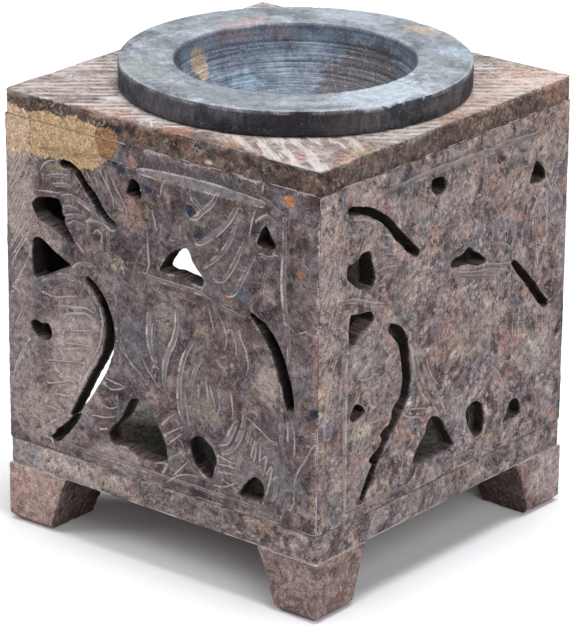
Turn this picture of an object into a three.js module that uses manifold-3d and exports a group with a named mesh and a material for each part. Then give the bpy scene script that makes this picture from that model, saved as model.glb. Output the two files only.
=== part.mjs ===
// A carved soapstone oil burner, in millimetres, +Z up, standing on z = 0 with the box centred on the origin.
// Four mitred side panels are glued between a base slab and a top slab, on four tapered feet. The front, right
// and back panels are pierced with a walking elephant seen from its left side: the cuts are the gaps round
// its trunk, ears, legs and tail. The left panel has an arched doorway for the tea light. A turned dish for the
// oil lies loose on the top slab, and its bowl hangs through a round hole there.
import * as THREE from 'three';
import { mergeVertices } from 'three/addons/utils/BufferGeometryUtils.js';
import Module from 'manifold-3d';

const wasm = await Module();
wasm.setup();

// Driving dimensions of the box
const BODY_WIDTH = 80;
const FOOT_HEIGHT = 12.5;
const BASE_SLAB_THICKNESS = 5.7;
const PANEL_HEIGHT = 68.4;
const TOP_SLAB_THICKNESS = 5;
const WALL = 4;
const CORNER_RADIUS = 1.2;

// Feet, cut square on the outside and tapered on the inside
const FOOT_TOP_WIDTH = 15.6;
const FOOT_BOTTOM_WIDTH = 11;
const FOOT_BOW = 0.7;
const FOOT_CHAMFER = 1.2;

// Dish, which lies a little off the middle, as the hole under it does
const DISH_OFFSET = 1.4;
const DISH_MARGIN = 5;
const DISH_RIM_WIDTH = 11.2;
const DISH_RIM_THICKNESS = 5.4;
const BOWL_DEPTH = 13.5;
const BOWL_WALL = 4.2;
const BOWL_FLOOR_RADIUS = 8;
const RIM_ROUNDING = 0.5;
const SEAT_CLEARANCE = 0.8;

// Arched doorway for the tea light in the left panel
const DOORWAY_JAMB_WIDTH = 14;
const DOORWAY_STRAIGHT_HEIGHT = 18;

// Cuts of the saw and the file. The carver set the back panel's pattern a little to one side.
const BACK_PATTERN_SHIFT = 1.4;
const SLOT_WIDTH = 2.2;
const MITRE_GAP = 0.3;
const OVERRUN = 1;

const HALF_BODY = BODY_WIDTH / 2;
const DISH_RADIUS = HALF_BODY - DISH_MARGIN;
const BOWL_RADIUS = DISH_RADIUS - DISH_RIM_WIDTH;
const SEAT_RADIUS = BOWL_RADIUS + BOWL_WALL + SEAT_CLEARANCE;
const BASE_SLAB_TOP = FOOT_HEIGHT + BASE_SLAB_THICKNESS;
const PANEL_TOP = BASE_SLAB_TOP + PANEL_HEIGHT;
const TOP_SLAB_TOP = PANEL_TOP + TOP_SLAB_THICKNESS;

// How smooth the curves are
const ROUND_STEPS = 64;
const CORNER_STEPS = 4;
const ARCH_STEPS = 20;
const OUTLINE_STEPS_PER_POINT = 2;
const SLOT_STEPS_PER_POINT = 2;
const SLOT_END_STEPS = 3;
const BOWL_STEPS = 12;

const STONE_FINISH = { roughness: 0.82, metalness: 0 };

// The pierced elephant. Each outline point is [share of the panel's width from its left edge, share of its
// height from its lower edge], seen from outside.
const FRONT_HOLE_SHARES = [
  // Beside ear
  [[0.092, 0.75], [0.106, 0.767], [0.135, 0.776], [0.18, 0.782], [0.189, 0.759], [0.202, 0.714],
    [0.23, 0.661], [0.209, 0.664], [0.163, 0.69], [0.12, 0.703], [0.094, 0.725]],
  // Beside mouth
  [[0.089, 0.615], [0.098, 0.644], [0.123, 0.644], [0.163, 0.618], [0.219, 0.59], [0.18, 0.569],
    [0.135, 0.54], [0.098, 0.527], [0.089, 0.569]],
  // Over back
  [[0.509, 0.659], [0.522, 0.693], [0.541, 0.719], [0.567, 0.734], [0.594, 0.741], [0.609, 0.706],
    [0.645, 0.663], [0.637, 0.644], [0.592, 0.651], [0.549, 0.653]],
  // Over rump
  [[0.833, 0.878], [0.848, 0.857], [0.863, 0.83], [0.858, 0.813], [0.83, 0.809], [0.808, 0.818],
    [0.814, 0.843]],
  // Over brow
  [[0.42, 0.905], [0.438, 0.896], [0.447, 0.869], [0.444, 0.852], [0.422, 0.849], [0.401, 0.856],
    [0.405, 0.882]],
  // Before trunk
  [[0.082, 0.378], [0.096, 0.391], [0.117, 0.385], [0.141, 0.389], [0.151, 0.367],
    [0.144, 0.343], [0.123, 0.338], [0.098, 0.345]],
  // Between front legs
  [[0.339, 0.106], [0.348, 0.129], [0.373, 0.159], [0.391, 0.195], [0.409, 0.234],
    [0.43, 0.243], [0.475, 0.228], [0.5, 0.181], [0.523, 0.131], [0.527, 0.087], [0.483, 0.065],
    [0.436, 0.068], [0.401, 0.084], [0.358, 0.082]],
  // Under belly
  [[0.602, 0.145], [0.606, 0.173], [0.63, 0.19], [0.656, 0.184], [0.684, 0.142], [0.678, 0.104],
    [0.669, 0.072], [0.645, 0.076], [0.617, 0.104]],
  // Between hind legs
  [[0.76, 0.054], [0.769, 0.082], [0.787, 0.108], [0.811, 0.122], [0.83, 0.106],
    [0.834, 0.081], [0.827, 0.06], [0.795, 0.049]],
];
const RIGHT_HOLE_SHARES = [
  // Beside ear
  [[0.109, 0.768], [0.141, 0.771], [0.164, 0.788], [0.192, 0.786], [0.203, 0.757],
    [0.214, 0.714], [0.206, 0.679], [0.17, 0.683], [0.135, 0.703], [0.109, 0.732]],
  // Beside mouth
  [[0.123, 0.619], [0.159, 0.612], [0.2, 0.608], [0.212, 0.586], [0.194, 0.566],
    [0.159, 0.548], [0.128, 0.524], [0.116, 0.56]],
  // Over back
  [[0.514, 0.638], [0.522, 0.655], [0.559, 0.659], [0.581, 0.674], [0.602, 0.659], [0.63, 0.641],
    [0.656, 0.61], [0.627, 0.604], [0.588, 0.622], [0.549, 0.627]],
  // Over rump
  [[0.858, 0.851], [0.873, 0.839], [0.891, 0.818], [0.897, 0.79], [0.866, 0.783], [0.832, 0.793],
    [0.841, 0.823]],
  // Over brow
  [[0.43, 0.918], [0.448, 0.922], [0.481, 0.913], [0.487, 0.889], [0.475, 0.872], [0.453, 0.871],
    [0.433, 0.889]],
  // Before trunk
  [[0.126, 0.317], [0.134, 0.339], [0.152, 0.347], [0.172, 0.334], [0.183, 0.314],
    [0.159, 0.301], [0.135, 0.298]],
  // Between front legs
  [[0.376, 0.084], [0.38, 0.108], [0.403, 0.14], [0.422, 0.162], [0.434, 0.193],
    [0.45, 0.202], [0.492, 0.175], [0.508, 0.139], [0.539, 0.087], [0.522, 0.076], [0.452, 0.074],
    [0.401, 0.076]],
  // Under belly
  [[0.588, 0.159], [0.597, 0.181], [0.633, 0.183], [0.655, 0.168], [0.666, 0.131],
    [0.661, 0.078], [0.635, 0.072], [0.605, 0.109]],
  // Between hind legs
  [[0.746, 0.076], [0.758, 0.097], [0.769, 0.124], [0.791, 0.137], [0.814, 0.12],
    [0.819, 0.087], [0.806, 0.075], [0.772, 0.076]],
  // Upper trunk notch
  [[0.319, 0.303], [0.291, 0.282], [0.289, 0.253], [0.312, 0.252]],
  // Middle trunk notch
  [[0.286, 0.241], [0.245, 0.224], [0.25, 0.206], [0.277, 0.202]],
  // Lower trunk notch
  [[0.25, 0.188], [0.22, 0.175], [0.199, 0.159], [0.211, 0.144], [0.237, 0.15]],
];

// The curved slots. Each point of a middle line has a third share: its width as a share of SLOT_WIDTH.
const FRONT_SLOT_SHARES = [
  // Over trunk
  [[0.195, 0.891, 0.74], [0.219, 0.892, 0.71], [0.244, 0.876, 0.77], [0.267, 0.845, 0.85],
    [0.293, 0.818, 0.94], [0.316, 0.786, 0.85], [0.34, 0.764, 0.74], [0.36, 0.752, 0.51]],
  // Behind trunk
  [[0.274, 0.564, 0.57], [0.303, 0.537, 0.82], [0.328, 0.499, 0.88], [0.341, 0.458, 0.91],
    [0.345, 0.41, 1.02], [0.335, 0.358, 1.16], [0.317, 0.309, 1.22], [0.291, 0.259, 1.19],
    [0.266, 0.213, 1.08], [0.242, 0.168, 0.8], [0.223, 0.133, 0.62]],
  // Trunk tip
  [[0.244, 0.139, 0.28], [0.222, 0.113, 0.68], [0.196, 0.08, 0.88], [0.173, 0.054, 0.99],
    [0.159, 0.039, 0.74]],
  // Tail
  [[0.795, 0.603, 0.57], [0.828, 0.575, 0.91], [0.858, 0.532, 1.05], [0.883, 0.474, 1.08],
    [0.9, 0.414, 1.11], [0.91, 0.367, 0.97]],
];
const RIGHT_SLOT_SHARES = [
  // Over trunk
  [[0.116, 0.925, 0.77], [0.152, 0.917, 0.74], [0.193, 0.901, 0.77], [0.232, 0.875, 0.82],
    [0.271, 0.838, 0.85], [0.308, 0.795, 0.91], [0.343, 0.754, 0.99], [0.377, 0.724, 0.8]],
  // Behind trunk
  [[0.278, 0.531, 0.8], [0.308, 0.506, 1.25], [0.331, 0.464, 1.31], [0.338, 0.414, 1.14],
    [0.345, 0.359, 1.25], [0.336, 0.305, 1.31], [0.307, 0.257, 1.08], [0.275, 0.215, 1.02],
    [0.241, 0.168, 0.97], [0.212, 0.12, 0.88], [0.188, 0.074, 0.85], [0.173, 0.049, 0.74]],
  // Tail
  [[0.772, 0.567, 0.51], [0.797, 0.539, 0.82], [0.83, 0.499, 0.88], [0.863, 0.458, 0.94],
    [0.891, 0.418, 0.99], [0.916, 0.393, 0.8]],
];

// Each foot was sawn by hand. The shares are of the foot widths, along X and along Y.
const FEET = [
  { name: 'foot_front_left', sideX: -1, sideY: -1, shares: [1.01, 1.22] },
  { name: 'foot_front_right', sideX: 1, sideY: -1, shares: [0.93, 1.05] },
  { name: 'foot_back_right', sideX: 1, sideY: 1, shares: [1.08, 0.98] },
  { name: 'foot_back_left', sideX: -1, sideY: 1, shares: [1, 1.04] },
];

function solidFrom(geometry) {
  const bare = geometry.clone();
  bare.deleteAttribute('normal');
  bare.deleteAttribute('uv');
  const merged = mergeVertices(bare);
  return new wasm.Manifold(new wasm.Mesh({
    numProp: 3,
    vertProperties: merged.attributes.position.array,
    triVerts: new Uint32Array(merged.index.array),
  }));
}

function geometryFrom(solid) {
  const mesh = solid.getMesh();
  const geometry = new THREE.BufferGeometry();
  geometry.setAttribute('position', new THREE.BufferAttribute(new Float32Array(mesh.vertProperties), 3));
  geometry.setIndex(new THREE.BufferAttribute(new Uint32Array(mesh.triVerts), 1));
  geometry.computeVertexNormals();
  return geometry;
}

function namedMesh(name, geometry, colour, finish = STONE_FINISH) {
  const mesh = new THREE.Mesh(geometry, new THREE.MeshStandardMaterial({ color: colour, ...finish }));
  mesh.name = name;
  return mesh;
}

// Slabs: a square with rounded corners, which may have a round hole
function slabGeometry(thickness, hole) {
  const straight = HALF_BODY - CORNER_RADIUS;
  const outline = new THREE.Shape();
  outline.absarc(straight, straight, CORNER_RADIUS, 0, Math.PI / 2);
  outline.absarc(-straight, straight, CORNER_RADIUS, Math.PI / 2, Math.PI);
  outline.absarc(-straight, -straight, CORNER_RADIUS, Math.PI, Math.PI * 1.5);
  outline.absarc(straight, -straight, CORNER_RADIUS, Math.PI * 1.5, Math.PI * 2);
  if (hole) {
    outline.holes.push(hole);
  }
  return new THREE.ExtrudeGeometry(outline, {
    depth: thickness,
    bevelEnabled: false,
    curveSegments: CORNER_STEPS,
  });
}

function baseSlab() {
  const geometry = slabGeometry(BASE_SLAB_THICKNESS).translate(0, 0, FOOT_HEIGHT);
  return namedMesh('base_slab', geometry, 0x75695f);
}

function topSlab() {
  const points = [];
  for (let step = 0; step < ROUND_STEPS; step += 1) {
    const angle = (step / ROUND_STEPS) * Math.PI * 2;
    const side = SEAT_RADIUS * Math.sin(angle);
    points.push(new THREE.Vector2(DISH_OFFSET + SEAT_RADIUS * Math.cos(angle), side));
  }
  const geometry = slabGeometry(TOP_SLAB_THICKNESS, new THREE.Path(points)).translate(0, 0, PANEL_TOP);
  return namedMesh('top_slab', geometry, 0x8f867b);
}

// Panels. Each is made as the front one, facing -Y, and then turned to its side.
function panelBlank() {
  const setBack = MITRE_GAP / 2 * Math.SQRT2;
  const outer = HALF_BODY - setBack;
  const inner = HALF_BODY - WALL - setBack;
  const plan = new THREE.Shape([
    new THREE.Vector2(-outer, -HALF_BODY),
    new THREE.Vector2(outer, -HALF_BODY),
    new THREE.Vector2(inner, -HALF_BODY + WALL),
    new THREE.Vector2(-inner, -HALF_BODY + WALL),
  ]);
  const geometry = new THREE.ExtrudeGeometry(plan, { depth: PANEL_HEIGHT, bevelEnabled: false });
  return solidFrom(geometry.translate(0, 0, BASE_SLAB_TOP));
}

// A cutter that passes through the front wall, for an outline drawn in X and height over the panel's foot
function wallCutter(outline) {
  const geometry = new THREE.ExtrudeGeometry(new THREE.Shape(outline), {
    depth: WALL + OVERRUN * 2,
    bevelEnabled: false,
  });
  geometry.rotateX(Math.PI / 2);
  return solidFrom(geometry.translate(0, WALL + OVERRUN - HALF_BODY, BASE_SLAB_TOP));
}

function panelPoint([across, up]) {
  return new THREE.Vector3((across - 0.5) * BODY_WIDTH, up * PANEL_HEIGHT, 0);
}

function flat(point) {
  return new THREE.Vector2(point.x, point.y);
}

function holeOutline(shares) {
  const curve = new THREE.CatmullRomCurve3(shares.map(panelPoint), true, 'centripetal');
  return curve.getPoints(shares.length * OUTLINE_STEPS_PER_POINT).slice(0, -1).map(flat);
}

// A saw cut of changing width along a curve, with half-round ends
function slotOutline(shares) {
  const curve = new THREE.CatmullRomCurve3(shares.map(panelPoint), false, 'centripetal');
  const steps = (shares.length - 1) * SLOT_STEPS_PER_POINT;
  const near = [];
  const far = [];
  const halfWidthAt = (index) => {
    const place = index / SLOT_STEPS_PER_POINT;
    const before = Math.floor(place);
    const after = Math.min(before + 1, shares.length - 1);
    return THREE.MathUtils.lerp(shares[before][2], shares[after][2], place - before) * SLOT_WIDTH / 2;
  };
  for (let index = 0; index <= steps; index += 1) {
    const middle = flat(curve.getPoint(index / steps));
    const along = flat(curve.getTangent(index / steps)).normalize();
    const aside = new THREE.Vector2(-along.y, along.x).multiplyScalar(halfWidthAt(index));
    near.push(middle.clone().sub(aside));
    far.unshift(middle.clone().add(aside));
  }
  const endCap = (index, turn) => {
    const middle = flat(curve.getPoint(index / steps));
    const along = flat(curve.getTangent(index / steps)).normalize();
    const points = [];
    for (let step = 1; step < SLOT_END_STEPS; step += 1) {
      const angle = along.angle() + turn + (step / SLOT_END_STEPS - 0.5) * Math.PI;
      const reach = halfWidthAt(index);
      points.push(new THREE.Vector2(middle.x + reach * Math.cos(angle), middle.y + reach * Math.sin(angle)));
    }
    return points;
  };
  return [...near, ...endCap(steps, 0), ...far, ...endCap(0, Math.PI)];
}

// A panel with its pattern cut through, moved along the panel by shift
function piercedPanel(holeShares, slotShares, shift = 0) {
  let panel = panelBlank();
  for (const shares of holeShares) {
    panel = panel.subtract(wallCutter(holeOutline(shares)).translate(shift, 0, 0));
  }
  for (const shares of slotShares) {
    panel = panel.subtract(wallCutter(slotOutline(shares)).translate(shift, 0, 0));
  }
  return geometryFrom(panel);
}

function doorwayPanel() {
  const reach = HALF_BODY - DOORWAY_JAMB_WIDTH;
  const outline = [new THREE.Vector2(-reach, -OVERRUN), new THREE.Vector2(reach, -OVERRUN)];
  for (let step = 0; step <= ARCH_STEPS; step += 1) {
    const angle = (step / ARCH_STEPS) * Math.PI;
    const height = DOORWAY_STRAIGHT_HEIGHT + reach * Math.sin(angle);
    outline.push(new THREE.Vector2(reach * Math.cos(angle), height));
  }
  return geometryFrom(panelBlank().subtract(wallCutter(outline)));
}

function panels() {
  const front = namedMesh('front_panel', piercedPanel(FRONT_HOLE_SHARES, FRONT_SLOT_SHARES), 0x6f645f);
  const right = namedMesh('right_panel', piercedPanel(RIGHT_HOLE_SHARES, RIGHT_SLOT_SHARES), 0x7d6f66);
  const backShape = piercedPanel(FRONT_HOLE_SHARES, FRONT_SLOT_SHARES, -BACK_PATTERN_SHIFT);
  const back = namedMesh('back_panel', backShape, 0x746963);
  const left = namedMesh('left_panel', doorwayPanel(), 0x71665f);
  right.rotation.z = Math.PI / 2;
  back.rotation.z = Math.PI;
  left.rotation.z = -Math.PI / 2;
  return [front, right, back, left];
}

// Feet. A profile seen along Y and a profile seen along X are extruded, and the foot is what they share.
function footProfile(share) {
  const top = HALF_BODY - FOOT_TOP_WIDTH * (1 + share) / 2;
  const bottom = HALF_BODY - FOOT_BOTTOM_WIDTH * share;
  const profile = new THREE.Shape();
  profile.moveTo(bottom, 0);
  profile.lineTo(HALF_BODY - FOOT_CHAMFER, 0);
  profile.lineTo(HALF_BODY, FOOT_CHAMFER);
  profile.lineTo(HALF_BODY, FOOT_HEIGHT);
  profile.lineTo(top, FOOT_HEIGHT);
  profile.quadraticCurveTo((top + bottom) / 2 + FOOT_BOW, FOOT_HEIGHT / 2, bottom, 0);
  return new THREE.ExtrudeGeometry(profile, {
    depth: HALF_BODY,
    bevelEnabled: false,
    curveSegments: CORNER_STEPS,
  });
}

function foot({ name, sideX, sideY, shares }) {
  const seenAlongY = footProfile(shares[0]).rotateX(Math.PI / 2).translate(0, HALF_BODY, 0);
  const seenAlongX = footProfile(shares[1]).rotateX(Math.PI / 2).rotateZ(Math.PI / 2);
  let solid = solidFrom(seenAlongY).intersect(solidFrom(seenAlongX));
  if (sideX < 0) {
    solid = solid.mirror([1, 0, 0]);
  }
  if (sideY < 0) {
    solid = solid.mirror([0, 1, 0]);
  }
  return namedMesh(name, geometryFrom(solid), 0x6b5148);
}

// Dish: a flat rim that lies on the slab, and a round bowl that hangs through the hole
function dish() {
  const rimTop = TOP_SLAB_TOP + DISH_RIM_THICKNESS;
  const bowlFloor = rimTop - BOWL_DEPTH;
  const profile = [new THREE.Vector2(0, bowlFloor)];
  const curvedWall = (radius, top, bottom, floorRadius) => {
    const points = [];
    for (let step = 0; step <= BOWL_STEPS; step += 1) {
      const angle = (step / BOWL_STEPS) * Math.PI / 2;
      points.push(new THREE.Vector2(
        floorRadius + (radius - floorRadius) * Math.sin(angle),
        top - (top - bottom) * Math.cos(angle),
      ));
    }
    return points;
  };
  profile.push(...curvedWall(BOWL_RADIUS, rimTop - RIM_ROUNDING, bowlFloor, BOWL_FLOOR_RADIUS));
  profile.push(new THREE.Vector2(BOWL_RADIUS + RIM_ROUNDING, rimTop));
  profile.push(new THREE.Vector2(DISH_RADIUS - RIM_ROUNDING, rimTop));
  profile.push(new THREE.Vector2(DISH_RADIUS, rimTop - RIM_ROUNDING));
  profile.push(new THREE.Vector2(DISH_RADIUS, TOP_SLAB_TOP + RIM_ROUNDING));
  profile.push(new THREE.Vector2(DISH_RADIUS - RIM_ROUNDING, TOP_SLAB_TOP));
  const bowlBase = bowlFloor - BOWL_WALL;
  profile.push(...curvedWall(BOWL_RADIUS + BOWL_WALL, TOP_SLAB_TOP, bowlBase, BOWL_FLOOR_RADIUS).reverse());
  profile.push(new THREE.Vector2(0, bowlBase));
  const geometry = new THREE.LatheGeometry(profile.reverse(), ROUND_STEPS).rotateX(Math.PI / 2);
  const mesh = namedMesh('dish', geometry, 0x858e96, { roughness: 0.7, metalness: 0 });
  mesh.position.x = DISH_OFFSET;
  return mesh;
}

const burner = new THREE.Group();
burner.add(baseSlab(), topSlab(), ...panels(), ...FEET.map(foot), dish());

export default burner;
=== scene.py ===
"""A carved soapstone oil burner: mitred pierced panels between two slabs, tapered feet and a turned dish.

Lengths are in millimetres until a mesh is made. Every piece replaces the solid of the same name.
"""
import math
from functools import reduce

import bpy
import numpy as np
from mathutils import Matrix, Vector
from mathutils.geometry import delaunay_2d_cdt
from mathutils.kdtree import KDTree


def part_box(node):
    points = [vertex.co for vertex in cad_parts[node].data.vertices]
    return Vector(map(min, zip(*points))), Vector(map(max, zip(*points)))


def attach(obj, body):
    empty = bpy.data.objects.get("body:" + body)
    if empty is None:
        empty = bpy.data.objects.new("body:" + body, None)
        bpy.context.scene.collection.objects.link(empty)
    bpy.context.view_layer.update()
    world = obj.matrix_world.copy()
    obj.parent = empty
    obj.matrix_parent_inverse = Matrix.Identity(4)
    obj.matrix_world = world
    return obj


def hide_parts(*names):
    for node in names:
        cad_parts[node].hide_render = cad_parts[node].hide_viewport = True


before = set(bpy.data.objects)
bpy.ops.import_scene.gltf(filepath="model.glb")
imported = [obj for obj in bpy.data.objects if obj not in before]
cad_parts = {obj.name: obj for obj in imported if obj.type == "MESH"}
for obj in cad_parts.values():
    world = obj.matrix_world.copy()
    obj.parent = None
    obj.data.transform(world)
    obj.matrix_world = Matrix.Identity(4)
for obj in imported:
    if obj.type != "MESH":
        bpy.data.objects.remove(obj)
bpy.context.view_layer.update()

# Places, taken from the solids
MM = 1000
METRE = 1 / MM
HALF_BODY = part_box("base_slab")[1][0] * MM
PANEL_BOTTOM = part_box("front_panel")[0][2] * MM
PANEL_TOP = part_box("front_panel")[1][2] * MM
SLAB_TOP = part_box("top_slab")[1][2] * MM
DISH_LOW, DISH_HIGH = (np.array(corner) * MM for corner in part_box("dish"))
WALL = (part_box("front_panel")[1][1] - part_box("front_panel")[0][1]) * MM
PANEL_WIDTH = (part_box("front_panel")[1][0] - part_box("front_panel")[0][0]) * MM

# How far apart the points of a mesh lie
FACE_SPACING = 0.7
EDGE_SPACING = 0.4
STROKE_SPACING = 0.36
STROKE_WIDENING = 1.25
BACK_SPACING = 3.0
LEAST_SPACING = 0.13
RIM_CLEARANCE = 0.26
ON_FACE = 0.01
PATCH_REACH = 3

# Wear of the stone
RIM_ROUNDING = 0.2
CORNER_WEAR = 0.5
CORNER_WEAR_REACH = 1.1
JOINT_DEPTH = 0.18
JOINT_REACH = 0.35
GROOVE_DEPTH = 0.38
EDGE_LINE = 0.17
HOLE_WEAR = 0.05
# Height above which the inside face of a panel gets the same near-black painted shade as the walls of its
# holes
INSIDE_SHADE_LINE = 56
FRONT_LEDGE = (-13, 2, 22.5)
BACK_PATTERN_SHIFT = 1.4
BACK_HOLE_NARROWING = 0.3
BROAD_STROKE = 0.55
ROUGHNESS_DEPTH = 0.11
PATCH_SOFTNESS = 1.0
BLOT_REACH = 4
LID_BLOT_DEPTH = 0.1
LID_BLOT_REACH = 1.2
RIM_BLOT_REACH = 1

# Small numbers that keep a division from failing, and more cells than a grid's row holds
SMALL = 1e-9
TINY = 1e-12
CELL_ROW = 1000003

BODY = "stone_body"
DISH_BODY = "oil_dish"

# Natural colours of the stone, as they are lit by white light
OCHRE = (0.62, 0.43, 0.25)
PALE_OCHRE = (0.68, 0.49, 0.35)
BROWN_OCHRE = (0.40, 0.22, 0.11)
ORANGE = (0.60, 0.25, 0.09)
INK = (0.03, 0.042, 0.075)
SLATE = (0.145, 0.15, 0.18)
PLUM = (0.165, 0.112, 0.128)
SOOT = (0.045, 0.034, 0.037)
MAUVE = (0.33, 0.27, 0.265)
ROSE = (0.40, 0.235, 0.205)
RUST = (0.36, 0.16, 0.11)
# Not a colour of the stone: used only as painted shade beside carved lines and on the hidden sides of the
# feet
SHADE_UMBER = (0.085, 0.065, 0.058)
BROWN = (0.19, 0.13, 0.105)
TAN = (0.46, 0.33, 0.23)
CREAM = (0.66, 0.57, 0.47)
OLIVE = (0.30, 0.275, 0.19)
ASH = (0.42, 0.38, 0.37)
LICHEN = (0.62, 0.60, 0.36)
CHALK = (0.76, 0.70, 0.68)
PALE_ROSE = (0.60, 0.465, 0.435)
PALE_TAN = (0.62, 0.50, 0.40)

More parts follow.
